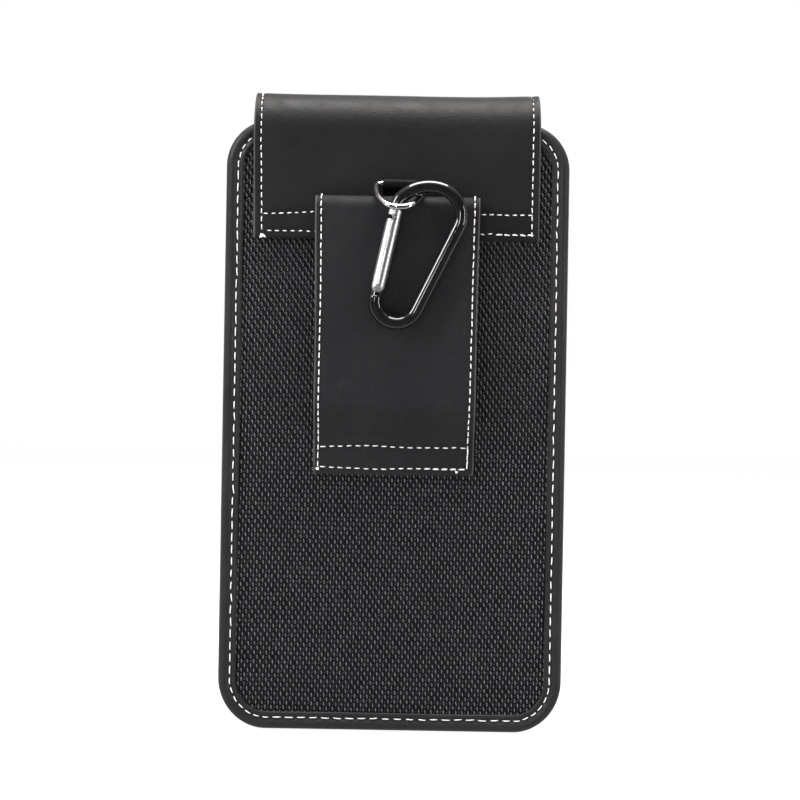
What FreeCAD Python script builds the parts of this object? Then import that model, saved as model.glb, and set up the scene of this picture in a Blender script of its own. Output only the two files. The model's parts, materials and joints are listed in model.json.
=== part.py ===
import FreeCAD, Part
import math
import os
import Sketcher
from FreeCAD import Placement, Rotation, Vector

# Phone belt holster: a flat upright pouch with a flap over its mouth, a belt loop sewn on its back,
# and a spring carabiner that hangs from a D-ring at the top of the loop.
# Millimetres. The origin is the middle of the belt slot: X runs along the belt, Z is up,
# and Y runs through the pouch, from the belt loop at -Y to the pouch's front at +Y.

SIZES = (
    ("pouch_width", 95.2, "pouch, edge to edge"),
    ("pouch_height", 169.5, "pouch, bottom to rim"),
    ("pouch_drop", 23.25, "belt slot's middle above the pouch's middle"),
    ("pocket_depth", 12, "gusset, between the two borders"),
    ("top_round", 14, "corner radius at the rim"),
    ("bottom_round", 13.8, "corner radius at the bottom"),
    ("border_band", 4.65, "leather border, from the edge to its inner lip"),
    ("border_wall", 1.2, "leather border, round the edge of the panel"),
    ("border_proud", 0.8, "leather border, above the woven panel"),
    ("border_softness", 0.8, "bevel of the border's outer edge"),
    ("panel_thick", 1.0, "woven nylon panel"),
    ("rib_pitch", 2.4, "from one rib of the weave to the next"),
    ("rib_depth", 0.15, "groove between two ribs of the weave"),
    ("board_thick", 1.2, "stiffening board behind each panel"),
    ("board_gap", 0.2, "board to the border round it"),
    ("gusset_wall", 1.2, "leather side strip"),
    ("lining_wall", 0.6, "pocket lining"),
    ("mouth_drop", 17.5, "rim down to the top of the side strip"),
    ("flap_width", 79.9, "flap strap"),
    ("flap_shift", -0.45, "flap strap, off the pouch's middle"),
    ("flap_leather", 1.0, "flap's outer leather"),
    ("flap_lining", 0.8, "flap's inner lining, and the backing sewn under its tail"),
    ("flap_tail", 33.1, "rim down to the flap's sewn lower edge"),
    ("flap_rise", 7.9, "rim up to the flap's crest"),
    ("flap_bend", 7.6, "radius of the flap's two bends over the rim"),
    ("flap_drop", 59, "rim down to the flap's free edge in front"),
    ("flap_round", 12, "corner radius of the flap's free edge"),
    ("flap_gap", 0.3, "flap to the pouch's front"),
    ("magnet_across", 14, "closure magnet and its plate"),
    ("magnet_thick", 1.0, "closure magnet, half in the leather and half in the lining"),
    ("magnet_rise", 13, "flap's free edge up to the magnet's middle"),
    ("magnet_gap", 0.1, "round the magnet and its plate"),
    ("slot_depth", 7.6, "belt slot, panel to loop"),
    ("loop_width", 45.3, "belt loop at its fold"),
    ("loop_taper", 1.3, "how much narrower the loop is at its lower end"),
    ("loop_shift", 0.1, "belt loop, off the pouch's middle"),
    ("loop_leather", 0.9, "belt loop's outer leather"),
    ("loop_lining", 0.5, "belt loop's inner lining"),
    ("loop_crest", 40.2, "fold's crest above the slot's middle"),
    ("loop_root", 29.2, "lower edge of the loop's rear ply"),
    ("loop_lean", 18.5, "slot's middle down to where the loop turns in"),
    ("loop_landing", 27, "slot's middle down to where the loop meets the panel"),
    ("loop_drop", 36.9, "slot's middle down to the loop's lower edge"),
    ("loop_turn", 3, "radius of the loop's two lower turns"),
    ("wire_flats", 10, "flats round a bent wire's section, in number"),
    ("ring_wire", 1.6, "D-ring wire"),
    ("ring_half", 6.5, "D-ring, middle to the middle of its side wire"),
    ("ring_length", 13.7, "D-ring, bar to the far end of its curve"),
    ("ring_tip", 4.6, "radius of the D-ring's far end"),
    ("ring_shoulder", 2.4, "bar to the D-ring's widest place"),
    ("ring_corner", 1.5, "radius at the ends of the D-ring's bar"),
    ("ring_shift", 0.5, "D-ring, off the pouch's middle"),
    ("ring_slope", 31.5, "how far the D-ring hangs below level, in degrees"),
    ("ring_above_loop", 3.6, "D-ring's bar above the loop's crest"),
    ("tab_width", 9.4, "tab that holds the D-ring"),
    ("tab_thick", 0.5, "one layer of the tab"),
    ("tab_tail", 11.5, "bar down to the tab's sewn end"),
    ("bar_gap", 0.05, "tab to the D-ring's bar, all round"),
    ("seam_gap", 0.05, "tab's tail in its seam"),
    ("carabiner_wire", 3.7, "carabiner's wire"),
    ("carabiner_gap", 0.45, "carabiner's gate to the belt loop"),
    ("foot_across", 0.22, "middle of the carabiner's lower bend, sideways"),
    ("foot_height", 10.9, "middle of the carabiner's lower bend, above the slot's middle"),
    ("foot_radius", 5.9, "radius of the carabiner's lower bend"),
    ("shoulder_across", 9.81, "middle of the carabiner's shoulder bend, sideways"),
    ("shoulder_height", 34.7, "middle of the carabiner's shoulder bend, above the slot's middle"),
    ("shoulder_radius", 7.7, "radius of the carabiner's shoulder bend"),
    ("head_radius", 11.1, "radius of the carabiner's wide top bend"),
    ("head_turn", 71.8, "where the top bend runs into the shoulder, in degrees"),
    ("nose_radius", 4, "radius where the nose turns down to the gate"),
    ("gate_lean", 12.1, "gate's lean from upright, in degrees"),
    ("hinge_rise", 2.9, "end of the lower bend up to the gate's hinge"),
    ("gate_across", 4, "gate's diameter"),
    ("gate_length", 21.5, "gate, hinge to tip"),
    ("gate_bore", 2.3, "bore for the gate's spring"),
    ("gate_bore_length", 16, "depth of that bore"),
    ("nose_gap", 0.3, "gate's tip to the nose's shoulder"),
    ("tongue_thick", 1.6, "flattened ends of the wire"),
    ("tongue_width", 2.8, "flattened ends of the wire, the wide way"),
    ("tongue_gap", 0.15, "gate's slots to the tongues in them, each side"),
    ("nose_slot", 3.6, "depth of the slot in the gate's tip"),
    ("nose_tongue", 3.2, "length of the nose's tongue in that slot"),
    ("heel_slot", 1.7, "hinge up to the end of the gate's lower slot"),
    ("heel_gap", 0.4, "gate's heel to the wire's shoulder below it"),
    ("pin_across", 1.2, "gate's hinge pin"),
    ("pin_gap", 0.05, "gate's ears to the hinge pin, all round"),
    ("catch_across", 1.0, "nose's catch pin"),
    ("catch_drop", 2.1, "gate's tip down to the catch pin"),
    ("catch_gap", 0.15, "catch pin in its notch, all round"),
    ("plunger_length", 3, "plunger that bears on the hinge's tongue"),
    ("plunger_gap", 0.05, "plunger in its bore, all round"),
    ("spring_wire", 0.35, "gate spring, inside to outside"),
)

doc = FreeCAD.newDocument("phone_belt_holster")
sheet = doc.addObject("Spreadsheet::Sheet", "sizes")
for row, (alias, number, meaning) in enumerate(SIZES, 1):
    sheet.set(f"A{row}", alias)
    sheet.set(f"B{row}", str(number))
    sheet.set(f"C{row}", meaning)
    sheet.setAlias(f"B{row}", alias)
doc.recompute()

# Places that several pieces share, worked out from the sizes above.
PANEL_Y = "(sizes.slot_depth / 2)"
BORDER_Y = f"({PANEL_Y} - sizes.border_proud)"
BORDER_REACH = "(sizes.border_proud + sizes.panel_thick + sizes.board_thick)"
GUSSET_Y = f"({BORDER_Y} + {BORDER_REACH})"
FRONT_RIM_Y = f"({GUSSET_Y} + sizes.pocket_depth)"
FRONT_Y = f"({FRONT_RIM_Y} + {BORDER_REACH})"
RIM_Z = "(sizes.pouch_height / 2 - sizes.pouch_drop)"
FLOOR_Z = "(-sizes.pouch_height / 2 - sizes.pouch_drop)"
FLAP_Y = f"({BORDER_Y} - sizes.flap_leather)"
FLAP_END_Z = f"({RIM_Z} - sizes.flap_drop)"
MAGNET_Z = f"({FLAP_END_Z} + sizes.magnet_rise)"
TAIL_Z = f"({RIM_Z} - sizes.flap_tail)"
LOOP_PLY = "(sizes.loop_leather + sizes.loop_lining)"
LOOP_Y = f"(-sizes.slot_depth / 2 - {LOOP_PLY})"
TAB_LAP = "(2 * sizes.tab_thick)"
BAR_Z = "(sizes.loop_crest + sizes.ring_above_loop)"
BAR_Y = f"({FLAP_Y} - sizes.seam_gap - sizes.tab_thick - sizes.bar_gap - sizes.ring_wire / 2)"
CARABINER_Y = f"({LOOP_Y} - sizes.carabiner_gap - sizes.gate_across / 2)"
HINGE_X = ("(sizes.foot_across - sizes.foot_radius * cos(sizes.gate_lean)"
           " + sizes.hinge_rise * sin(sizes.gate_lean))")
HINGE_Z = ("(sizes.foot_height + sizes.foot_radius * sin(sizes.gate_lean)"
           " + sizes.hinge_rise * cos(sizes.gate_lean))")
HEEL = "(sizes.gate_across / 2)"
NOSE_TOP = "(sizes.gate_length + sizes.nose_gap)"
SLOT_WIDTH = "(sizes.tongue_thick + 2 * sizes.tongue_gap)"
AMPLE = "(2 * sizes.pouch_width)"

NODES = []


def size(expression):
    """The number that an expression of the sheet's sizes comes to."""
    return float(sheet.evalExpression(str(expression)))


def hold(sketch, kind, expression, *places):
    """A dimension in a sketch, bound to an expression."""
    index = sketch.addConstraint(Sketcher.Constraint(kind, *places, size(expression)))
    sketch.setExpression(f"Constraints[{index}]", str(expression))


def hold_point(sketch, geometry, end, across, up):
    """Binds a point's place, measured from the sketch's origin."""
    hold(sketch, "DistanceX", across, -1, 1, geometry, end)
    hold(sketch, "DistanceY", up, -1, 1, geometry, end)


def draw(sketch, corners, closed=True):
    """Straight lines from corner to corner. Each corner is (across, up) or (across, up, radius)."""
    places = [Vector(size(corner[0]), size(corner[1]), 0) for corner in corners]
    count = len(corners)
    arrive, leave = list(places), list(places)
    rounded = [len(corner) > 2 for corner in corners]
    for index in range(count):
        if rounded[index]:
            back = (places[index - 1] - places[index]).normalize()
            on = (places[(index + 1) % count] - places[index]).normalize()
            reach = size(corners[index][2]) / math.tan(back.getAngle(on) / 2)
            arrive[index] = places[index] + back * reach
            leave[index] = places[index] + on * reach
    lines = []
    for index in range(count if closed else count - 1):
        line = Part.LineSegment(leave[index], arrive[(index + 1) % count])
        lines.append(sketch.addGeometry(line))
    for index, corner in enumerate(corners):
        if not closed and index in (0, count - 1):
            end = 1 if index == 0 else 2
            hold_point(sketch, lines[0 if index == 0 else -1], end, *corner[:2])
            continue
        before, after = lines[index - 1], lines[index]
        if not rounded[index]:
            sketch.addConstraint(Sketcher.Constraint("Coincident", before, 2, after, 1))
            hold_point(sketch, after, 1, *corner[:2])
            continue
        radius = size(corner[2])
        back = (arrive[index] - places[index]).normalize()
        on = (leave[index] - places[index]).normalize()
        inward = (back + on).normalize()
        centre = places[index] + inward * (radius / math.sin(back.getAngle(on) / 2))
        left_turn = back.cross(on).z < 0
        first, last = (arrive[index], leave[index]) if left_turn else (leave[index], arrive[index])
        start = math.atan2(first.y - centre.y, first.x - centre.x)
        stop = math.atan2(last.y - centre.y, last.x - centre.x)
        stop += 2 * math.pi * (stop < start)
        circle = Part.Circle(centre, Vector(0, 0, 1), radius)
        arc = sketch.addGeometry(Part.ArcOfCircle(circle, start, stop))
        into, out = (1, 2) if left_turn else (2, 1)
        sketch.addConstraint(Sketcher.Constraint("Tangent", before, 2, arc, into))
        sketch.addConstraint(Sketcher.Constraint("Tangent", arc, out, after, 1))
        hold(sketch, "Radius", corner[2], arc)
        mark = sketch.addGeometry(Part.Point(places[index]), True)
        sketch.addConstraint(Sketcher.Constraint("PointOnObject", mark, 1, before))
        sketch.addConstraint(Sketcher.Constraint("PointOnObject", mark, 1, after))
        hold_point(sketch, mark, 1, *corner[:2])


def bend(centre, radius, start, stop):
    """An arc from one angle to another, in degrees, either way round, with its two ends in order."""
    low, high = sorted((math.radians(start), math.radians(stop)))
    arc = Part.ArcOfCircle(Part.Circle(centre, Vector(0, 0, 1), radius), low, high)
    return arc, (1, 2) if start < stop else (2, 1)


def run(start, stop):
    """A straight run, with its two ends in order."""
    return Part.LineSegment(start, stop), (1, 2)


def chain(sketch, pieces, closed):
    """Lines and arcs that run smoothly into each other."""
    names = [sketch.addGeometry(piece) for piece, ends in pieces]
    for index in range(len(pieces) if closed else len(pieces) - 1):
        after = (index + 1) % len(pieces)
        joint = (names[index], pieces[index][1][1], names[after], pieces[after][1][0])
        sketch.addConstraint(Sketcher.Constraint("Tangent", *joint))
    return names


def polar(centre, radius, degrees):
    """A point on a circle."""
    angle = math.radians(degrees)
    return centre + Vector(math.cos(angle), math.sin(angle), 0) * radius


def new_body(label):
    """An empty sub-part."""
    body = doc.addObject("PartDesign::Body", label)
    body.Label = label
    NODES.append(body)
    return body


def on_plane(body, role, name, distance="0"):
    """A sketch on one of the body's own planes, or at a distance along the row's axis from it."""
    sketch = body.newObject("Sketcher::SketchObject", name)
    plane = next(item for item in body.Origin.OriginFeatures if item.Role == role)
    sketch.AttachmentSupport = [(plane, "")]
    sketch.MapMode = "FlatFace"
    sign = "-" if role == "XZ_Plane" else ""
    sketch.setExpression("AttachmentOffset.Base.z", f"{sign}({distance})")
    doc.recompute()
    return sketch


def pad(body, name, sketch, length, both_ways=False):
    """Fills a sketch. From the XZ plane it fills towards +Y, from the others towards their normal."""
    feature = body.newObject("PartDesign::Pad", name)
    feature.Profile = sketch
    feature.setExpression("Length", length)
    feature.Midplane = both_ways
    feature.Reversed = sketch.AttachmentSupport[0][0].Role == "XZ_Plane" and not both_ways
    doc.recompute()
    return feature


def pocket(body, name, sketch, length, both_ways=False):
    """Cuts a sketch away. From the XZ plane it cuts towards +Y, from the others against their normal."""
    before = body.Shape.Volume
    feature = body.newObject("PartDesign::Pocket", name)
    feature.Profile = sketch
    feature.setExpression("Length", length)
    feature.Midplane = both_ways
    doc.recompute()
    if not body.Shape.Volume < before:
        raise ValueError(f"{body.Label}: {name} cuts nothing")
    return feature


def soften(body, name, chosen, reach):
    """Bevels the edges that the test picks."""
    base = body.Tip
    picked = [f"Edge{index}" for index, edge in enumerate(base.Shape.Edges, 1) if chosen(edge)]
    feature = body.newObject("PartDesign::Chamfer", name)
    feature.Base = (base, picked)
    feature.setExpression("Size", reach)
    doc.recompute()
    return feature


def circle(sketch, across, up, diameter):
    """A round outline."""
    place = Vector(size(across), size(up), 0)
    index = sketch.addGeometry(Part.Circle(place, Vector(0, 0, 1), size(diameter) / 2))
    hold(sketch, "Diameter", diameter, index)
    hold_point(sketch, index, 3, across, up)


def pouch_outline(inset):
    """The pouch's rounded outline, drawn in by an inset."""
    side, low, high = f"(sizes.pouch_width / 2 - {inset})", f"({FLOOR_Z} + {inset})", f"({RIM_Z} - {inset})"
    foot, head = f"(sizes.bottom_round - {inset})", f"(sizes.top_round - {inset})"
    return [(f"-{side}", low, foot), (side, low, foot), (side, high, head), (f"-{side}", high, head)]


def box_outline(left, right, low, high):
    """A plain rectangle."""
    return [(left, low), (right, low), (right, high), (left, high)]


def slab(label, near, thick, corners):
    """A flat piece with the given outline, from one place along Y to another."""
    body = new_body(label)
    sketch = on_plane(body, "XZ_Plane", f"{label}_outline", near)
    draw(sketch, corners)
    pad(body, f"{label}_slab", sketch, thick)
    return body


def cut_slab(body, name, near, thick, corners):
    """Cuts a flat piece with the given outline out of a body."""
    sketch = on_plane(body, "XZ_Plane", f"{name}_outline", near)
    draw(sketch, corners)
    return pocket(body, name, sketch, thick)


def border(label, near, face_first):
    """A leather frame of L-shaped section: a band over the panel's face, and a wall round its edge."""
    body = slab(label, near, BORDER_REACH, pouch_outline("0"))
    cut_slab(body, f"{label}_window", near, BORDER_REACH, pouch_outline("sizes.border_band"))
    seat = f"({near} + sizes.border_proud)" if face_first else near
    depth = f"({BORDER_REACH} - sizes.border_proud)"
    cut_slab(body, f"{label}_seat", seat, depth, pouch_outline("sizes.border_wall"))
    face = size(near) if face_first else size(near) + size(BORDER_REACH)
    window = size("sizes.pouch_width / 2 - sizes.border_wall")

    def outer_edge(edge):
        flat = all(abs(vertex.Y - face) < 1e-6 for vertex in edge.Vertexes)
        box = edge.BoundBox
        low, high = size(FLOOR_Z), size(RIM_Z)
        wide = max(abs(box.XMin), abs(box.XMax)) > window
        return flat and (wide or abs(box.ZMin - low) < 1e-6 or abs(box.ZMax - high) < 1e-6)

    soften(body, f"{label}_soft_edge", outer_edge, "sizes.border_softness")


def ribs(body, near):
    """Shallow grooves in a panel's outer face, between the ribs of its weave."""
    label = body.Label
    margin = "(sizes.border_band + sizes.rib_pitch)"
    first = f"({FLOOR_Z} + sizes.bottom_round)"
    last = f"({RIM_Z} - sizes.top_round)"
    half = f"(sizes.pouch_width / 2 - {margin})"
    sketch = on_plane(body, "YZ_Plane", f"{label}_groove_section", f"-{half}")
    top, bottom = f"({first} + sizes.rib_pitch / 2)", first
    middle = f"({first} + sizes.rib_pitch / 4)"
    draw(sketch, [(near, bottom), (f"({near} + sizes.rib_depth)", middle), (near, top)])
    groove = body.newObject("PartDesign::Pocket", f"{label}_groove")
    groove.Profile = sketch
    groove.Reversed = True
    groove.setExpression("Length", f"2 * {half}")
    doc.recompute()
    rows = body.newObject("PartDesign::LinearPattern", f"{label}_ribs")
    rows.Originals = [groove]
    rows.Direction = (sketch, ["V_Axis"])
    rows.setExpression("Length", f"floor(({last} - {first}) / sizes.rib_pitch - 1) * sizes.rib_pitch")
    rows.setExpression("Occurrences", f"floor(({last} - {first}) / sizes.rib_pitch - 1) + 1")
    body.Tip = rows
    doc.recompute()


def cut_corners(inset):
    """The pouch's outline drawn in by an inset, its corners cut straight across."""
    side, low, high = f"(sizes.pouch_width / 2 - {inset})", f"({FLOOR_Z} + {inset})", f"({RIM_Z} - {inset})"
    foot, head = f"(sizes.bottom_round - {inset})", f"(sizes.top_round - {inset})"
    right = [(f"({side} - {foot})", low), (side, f"({low} + {foot})"),
             (side, f"({high} - {head})"), (f"({side} - {head})", high)]
    return right + [(f"-{across}", up) for across, up in reversed(right)]


def magnet_outline(gap):
    """The square closure magnet seen face on, or the room for it."""
    half = f"(sizes.magnet_across / 2 + {gap})"
    return box_outline(f"(sizes.flap_shift - {half})", f"(sizes.flap_shift + {half})",
                       f"({MAGNET_Z} - {half})", f"({MAGNET_Z} + {half})")


# The pouch: panel, board and lining on each side, held in two leather borders.
border("back_border", BORDER_Y, True)
border("front_border", FRONT_RIM_Y, False)
PANEL = pouch_outline("sizes.border_wall")
ribs(slab("back_panel", PANEL_Y, "sizes.panel_thick", PANEL), PANEL_Y)
slab("front_panel", f"({FRONT_RIM_Y} + sizes.board_thick)", "sizes.panel_thick", PANEL)
BOARD = cut_corners("(sizes.border_wall + sizes.board_gap)")
slab("back_board", f"({PANEL_Y} + sizes.panel_thick)", "sizes.board_thick", BOARD)
front_board = slab("front_board", FRONT_RIM_Y, "sizes.board_thick", BOARD)
cut_slab(front_board, "plate_seat", FRONT_RIM_Y, "sizes.board_thick", magnet_outline("sizes.magnet_gap"))
slab("closure_plate", FRONT_RIM_Y, "sizes.board_thick", magnet_outline("0"))

SIDE_TOP = f"({RIM_Z} - sizes.mouth_drop)"
gusset = slab("side_gusset", GUSSET_Y, "sizes.pocket_depth", pouch_outline("0"))
cut_slab(gusset, "gusset_inside", GUSSET_Y, "sizes.pocket_depth", pouch_outline("sizes.gusset_wall"))
ABOVE_SIDES = box_outline(f"-{AMPLE}", AMPLE, SIDE_TOP, f"({RIM_Z} + sizes.mouth_drop)")
cut_slab(gusset, "gusset_mouth", GUSSET_Y, "sizes.pocket_depth", ABOVE_SIDES)

lining = slab("pocket_lining", GUSSET_Y, "sizes.pocket_depth", pouch_outline("sizes.gusset_wall"))
INSIDE_Y = f"({GUSSET_Y} + sizes.lining_wall)"
INSIDE_DEPTH = "(sizes.pocket_depth - 2 * sizes.lining_wall)"
LINED = pouch_outline("(sizes.gusset_wall + sizes.lining_wall)")
cut_slab(lining, "lining_inside", INSIDE_Y, INSIDE_DEPTH, LINED)
cut_slab(lining, "lining_mouth", INSIDE_Y, INSIDE_DEPTH, ABOVE_SIDES)

# The flap: its tail is sewn to the pouch's back, and the rest turns at the rim to open.
FLAP_LEFT = "(sizes.flap_shift - sizes.flap_width / 2)"
FLAP_RIGHT = "(sizes.flap_shift + sizes.flap_width / 2)"
slab("flap_tail_leather", FLAP_Y, "sizes.flap_leather", box_outline(FLAP_LEFT, FLAP_RIGHT, TAIL_Z, RIM_Z))
BACKING_TOP = f"({RIM_Z} - sizes.border_band - sizes.seam_gap)"
BACKING_ROUND = "(sizes.top_round - sizes.border_band)"
WINDOW = "(sizes.pouch_width / 2 - sizes.border_band - sizes.seam_gap)"
BACKING_LEFT, BACKING_RIGHT = f"max({FLAP_LEFT}; -{WINDOW})", f"min({FLAP_RIGHT}; {WINDOW})"
slab("flap_tail_backing", BORDER_Y, "sizes.border_proud",
     [(BACKING_LEFT, TAIL_Z), (BACKING_RIGHT, TAIL_Z), (BACKING_RIGHT, BACKING_TOP, BACKING_ROUND),
      (BACKING_LEFT, BACKING_TOP, BACKING_ROUND)])


def free_sketch(name, turn):
    """A sketch outside the bodies, for a piece that is bent from a strip."""
    sketch = doc.addObject("Sketcher::SketchObject", name)
    sketch.Placement = Placement(Vector(), turn)
    return sketch


SIDE_ON = Rotation(Vector(1, 1, 1), 120)
FACE_ON = Rotation(Vector(1, 0, 0), 90)


def offset(name, source, distance, filled):
    """The line at a distance beside another, or the strip between the two. Its sign picks the side."""
    feature = doc.addObject("Part::Offset2D", name)
    feature.Source = source
    feature.setExpression("Value", distance)
    feature.Mode = "Skin"
    feature.Join = "Arc"
    feature.Fill = filled
    doc.recompute()
    return feature


def extrude(name, base, direction, length):
    """Fills an outline both ways from its plane."""
    feature = doc.addObject("Part::Extrusion", name)
    feature.Base = base
    feature.DirMode = "Custom"
    feature.Dir = direction
    feature.Symmetric = True
    feature.Solid = True
    feature.setExpression("LengthFwd", length)
    doc.recompute()
    return feature


def boolean(kind, name, base, tool):
    """One solid cut by, joined to or kept within another."""
    feature = doc.addObject(f"Part::{kind}", name)
    feature.Base = base
    feature.Tool = tool
    doc.recompute()
    return feature


def strip(label, line, thick, outline, holes=()):
    """A ply bent along a line, trimmed to an outline seen face on, less any holes."""
    ply = extrude(f"{label}_ply", offset(f"{label}_section", line, thick, True), Vector(1, 0, 0), AMPLE)
    trim = extrude(f"{label}_trim", outline, Vector(0, 1, 0), AMPLE)
    piece = boolean("Common", f"{label}_cut", ply, trim)
    for index, hole in enumerate(holes):
        piece = boolean("Cut", f"{label}_hole_{index}", piece, hole)
    piece.Label = label
    NODES.append(piece)
    return piece


FLAP_FRONT_Y = f"({FRONT_Y} + sizes.flap_gap + sizes.flap_lining + sizes.flap_leather)"
CREST_Z = f"({RIM_Z} + sizes.flap_rise)"
flap_line = free_sketch("flap_line", SIDE_ON)
draw(flap_line, [(FLAP_Y, RIM_Z), (FLAP_Y, CREST_Z, "sizes.flap_bend"),
                 (FLAP_FRONT_Y, CREST_Z, "sizes.flap_bend"), (FLAP_FRONT_Y, FLAP_END_Z)], closed=False)
flap_shape = free_sketch("flap_shape", FACE_ON)
draw(flap_shape, [(FLAP_LEFT, FLAP_END_Z, "sizes.flap_round"), (FLAP_RIGHT, FLAP_END_Z, "sizes.flap_round"),
                  (FLAP_RIGHT, f"({CREST_Z} + sizes.flap_rise)"),
                  (FLAP_LEFT, f"({CREST_Z} + sizes.flap_rise)")])


def magnet_solid(label, gap):
    """The closure magnet, or the room for it with a gap all round."""
    solid = doc.addObject("Part::Box", label)
    half = f"(sizes.magnet_across / 2 + {gap})"
    solid.setExpression("Length", f"2 * {half}")
    solid.setExpression("Width", "sizes.magnet_thick")
    solid.setExpression("Height", f"2 * {half}")
    solid.setExpression("Placement.Base.x", f"sizes.flap_shift - {half}")
    solid.setExpression("Placement.Base.y",
                        f"{FLAP_FRONT_Y} - sizes.flap_leather - sizes.magnet_thick / 2")
    solid.setExpression("Placement.Base.z", f"{MAGNET_Z} - {half}")
    doc.recompute()
    return solid


magnet_room = magnet_solid("magnet_room", "sizes.magnet_gap")
strip("flap_cover", flap_line, "sizes.flap_leather", flap_shape, [magnet_room])
lining_line = offset("flap_lining_line", flap_line, "sizes.flap_leather", False)
strip("flap_lining", lining_line, "sizes.flap_lining", flap_shape, [magnet_room])
NODES.append(magnet_solid("flap_magnet", "0"))

# The belt loop: its rear ply is sewn on the flap's tail, it folds over at the top, hangs in front of
# the belt and turns in to the panel, where its lower edge is sewn down.
loop_line = free_sketch("loop_line", SIDE_ON)
LOOP_FOLD = f"(0.49 * ({FLAP_Y} - {LOOP_Y}))"
LANDED_Y = f"({PANEL_Y} - {LOOP_PLY})"
draw(loop_line, [(FLAP_Y, "sizes.loop_root"), (FLAP_Y, "sizes.loop_crest", LOOP_FOLD),
                 (LOOP_Y, "sizes.loop_crest", LOOP_FOLD), (LOOP_Y, "-sizes.loop_lean", "sizes.loop_turn"),
                 (LANDED_Y, "-sizes.loop_landing", "sizes.loop_turn"), (LANDED_Y, "-sizes.loop_drop")],
     closed=False)
loop_shape = free_sketch("loop_shape", FACE_ON)
HALF_TOP = "(sizes.loop_width / 2)"
HALF_FOOT = "((sizes.loop_width - sizes.loop_taper) / 2)"
draw(loop_shape, [(f"(sizes.loop_shift - {HALF_FOOT})", "-sizes.loop_drop"),
                  (f"(sizes.loop_shift + {HALF_FOOT})", "-sizes.loop_drop"),
                  (f"(sizes.loop_shift + {HALF_TOP})", "sizes.loop_crest"),
                  (f"(sizes.loop_shift - {HALF_TOP})", "sizes.loop_crest")])

tab_room = doc.addObject("Part::Box", "tab_room")
TAB_END_Z = f"({BAR_Z} - sizes.tab_tail)"
TAB_FACE_Y = f"({FLAP_Y} - {TAB_LAP} - 2 * sizes.seam_gap)"
tab_room.setExpression("Length", "sizes.tab_width + 2 * sizes.seam_gap")
tab_room.setExpression("Width", f"{TAB_LAP} + 2 * sizes.seam_gap")
tab_room.setExpression("Height", "sizes.tab_tail + sizes.seam_gap")
tab_room.setExpression("Placement.Base.x", "sizes.ring_shift - sizes.tab_width / 2 - sizes.seam_gap")
tab_room.setExpression("Placement.Base.y", TAB_FACE_Y)
tab_room.setExpression("Placement.Base.z", f"{TAB_END_Z} - sizes.seam_gap")
strip("belt_loop", loop_line, "-sizes.loop_leather", loop_shape, [tab_room])
loop_lining_line = offset("loop_lining_line", loop_line, "-sizes.loop_leather", False)
strip("belt_loop_lining", loop_lining_line, "-sizes.loop_lining", loop_shape, [tab_room])

# The tab: a strip wrapped round the ring's bar, its two ends laid together and sewn into the loop's seam.
tab = new_body("ring_tab")
tab_sketch = on_plane(tab, "YZ_Plane", "tab_section", "sizes.ring_shift")
TAB_OUTER = "(sizes.ring_wire / 2 + sizes.bar_gap + sizes.tab_thick)"
circle(tab_sketch, BAR_Y, BAR_Z, f"2 * {TAB_OUTER}")
pad(tab, "tab_eye", tab_sketch, "sizes.tab_width", both_ways=True)
tail_sketch = on_plane(tab, "YZ_Plane", "tab_tail_section", "sizes.ring_shift")
TAIL_BACK_Y = f"({FLAP_Y} - sizes.seam_gap)"
draw(tail_sketch, box_outline(f"({TAIL_BACK_Y} - {TAB_LAP})", TAIL_BACK_Y, TAB_END_Z, BAR_Z))
pad(tab, "tab_tail_lap", tail_sketch, "sizes.tab_width", both_ways=True)
bore_sketch = on_plane(tab, "YZ_Plane", "tab_bore_section", "sizes.ring_shift")
circle(bore_sketch, BAR_Y, BAR_Z, "sizes.ring_wire + 2 * sizes.bar_gap")
pocket(tab, "tab_bore", bore_sketch, "2 * sizes.tab_width", both_ways=True)


def wire_section(body, spine, diameter):
    """A near-round section of many flats, square to a line's start, and the wire it makes along the line."""
    section = body.newObject("Sketcher::SketchObject", f"{spine.Name}_section")
    section.AttachmentSupport = [(spine, "Edge1")]
    section.MapMode = "NormalToEdge"
    doc.recompute()
    flats = int(size("sizes.wire_flats"))
    turns = [f"(360 * {index + 0.5} / sizes.wire_flats)" for index in range(flats)]
    draw(section, [(f"{diameter} / 2 * cos({turn})", f"{diameter} / 2 * sin({turn})") for turn in turns])
    wire = body.newObject("PartDesign::AdditivePipe", f"{spine.Name}_wire")
    wire.Profile = section
    wire.Spine = spine
    doc.recompute()
    return wire


def placed(feature, across, along, up, axis, degrees):
    """Binds a sub-part's place and turn."""
    feature.Placement = Placement(Vector(), Rotation(axis, size(degrees)))
    for name, expression in (("x", across), ("y", along), ("z", up)):
        feature.setExpression(f"Placement.Base.{name}", expression)
    feature.setExpression("Placement.Rotation.Angle", f"({degrees}) * 1 deg")
    doc.recompute()


# The D-ring, drawn flat with its bar on the X axis and its curve towards +Y, then hung at its slope.
ring = new_body("d_ring")
ring_line = on_plane(ring, "XY_Plane", "ring_line")
TIP_Y = "(sizes.ring_length - sizes.ring_tip)"
SIDE_RUN = f"({TIP_Y} - sizes.ring_shoulder)"
SIDE_BEND = (f"((sizes.ring_half ^ 2 + {SIDE_RUN} ^ 2 - sizes.ring_tip ^ 2)"
             " / (2 * (sizes.ring_half - sizes.ring_tip)))")
SIDE_X = f"({SIDE_BEND} - sizes.ring_half)"
CORNER_X = (f"(sqrt(({SIDE_BEND} - sizes.ring_corner) ^ 2"
            f" - (sizes.ring_shoulder - sizes.ring_corner) ^ 2) - {SIDE_X})")
tip = Vector(0, size(TIP_Y), 0)
side = Vector(-size(SIDE_X), size("sizes.ring_shoulder"), 0)
corner = Vector(size(CORNER_X), size("sizes.ring_corner"), 0)
side_left, corner_left = Vector(-side.x, side.y, 0), Vector(-corner.x, corner.y, 0)
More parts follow.
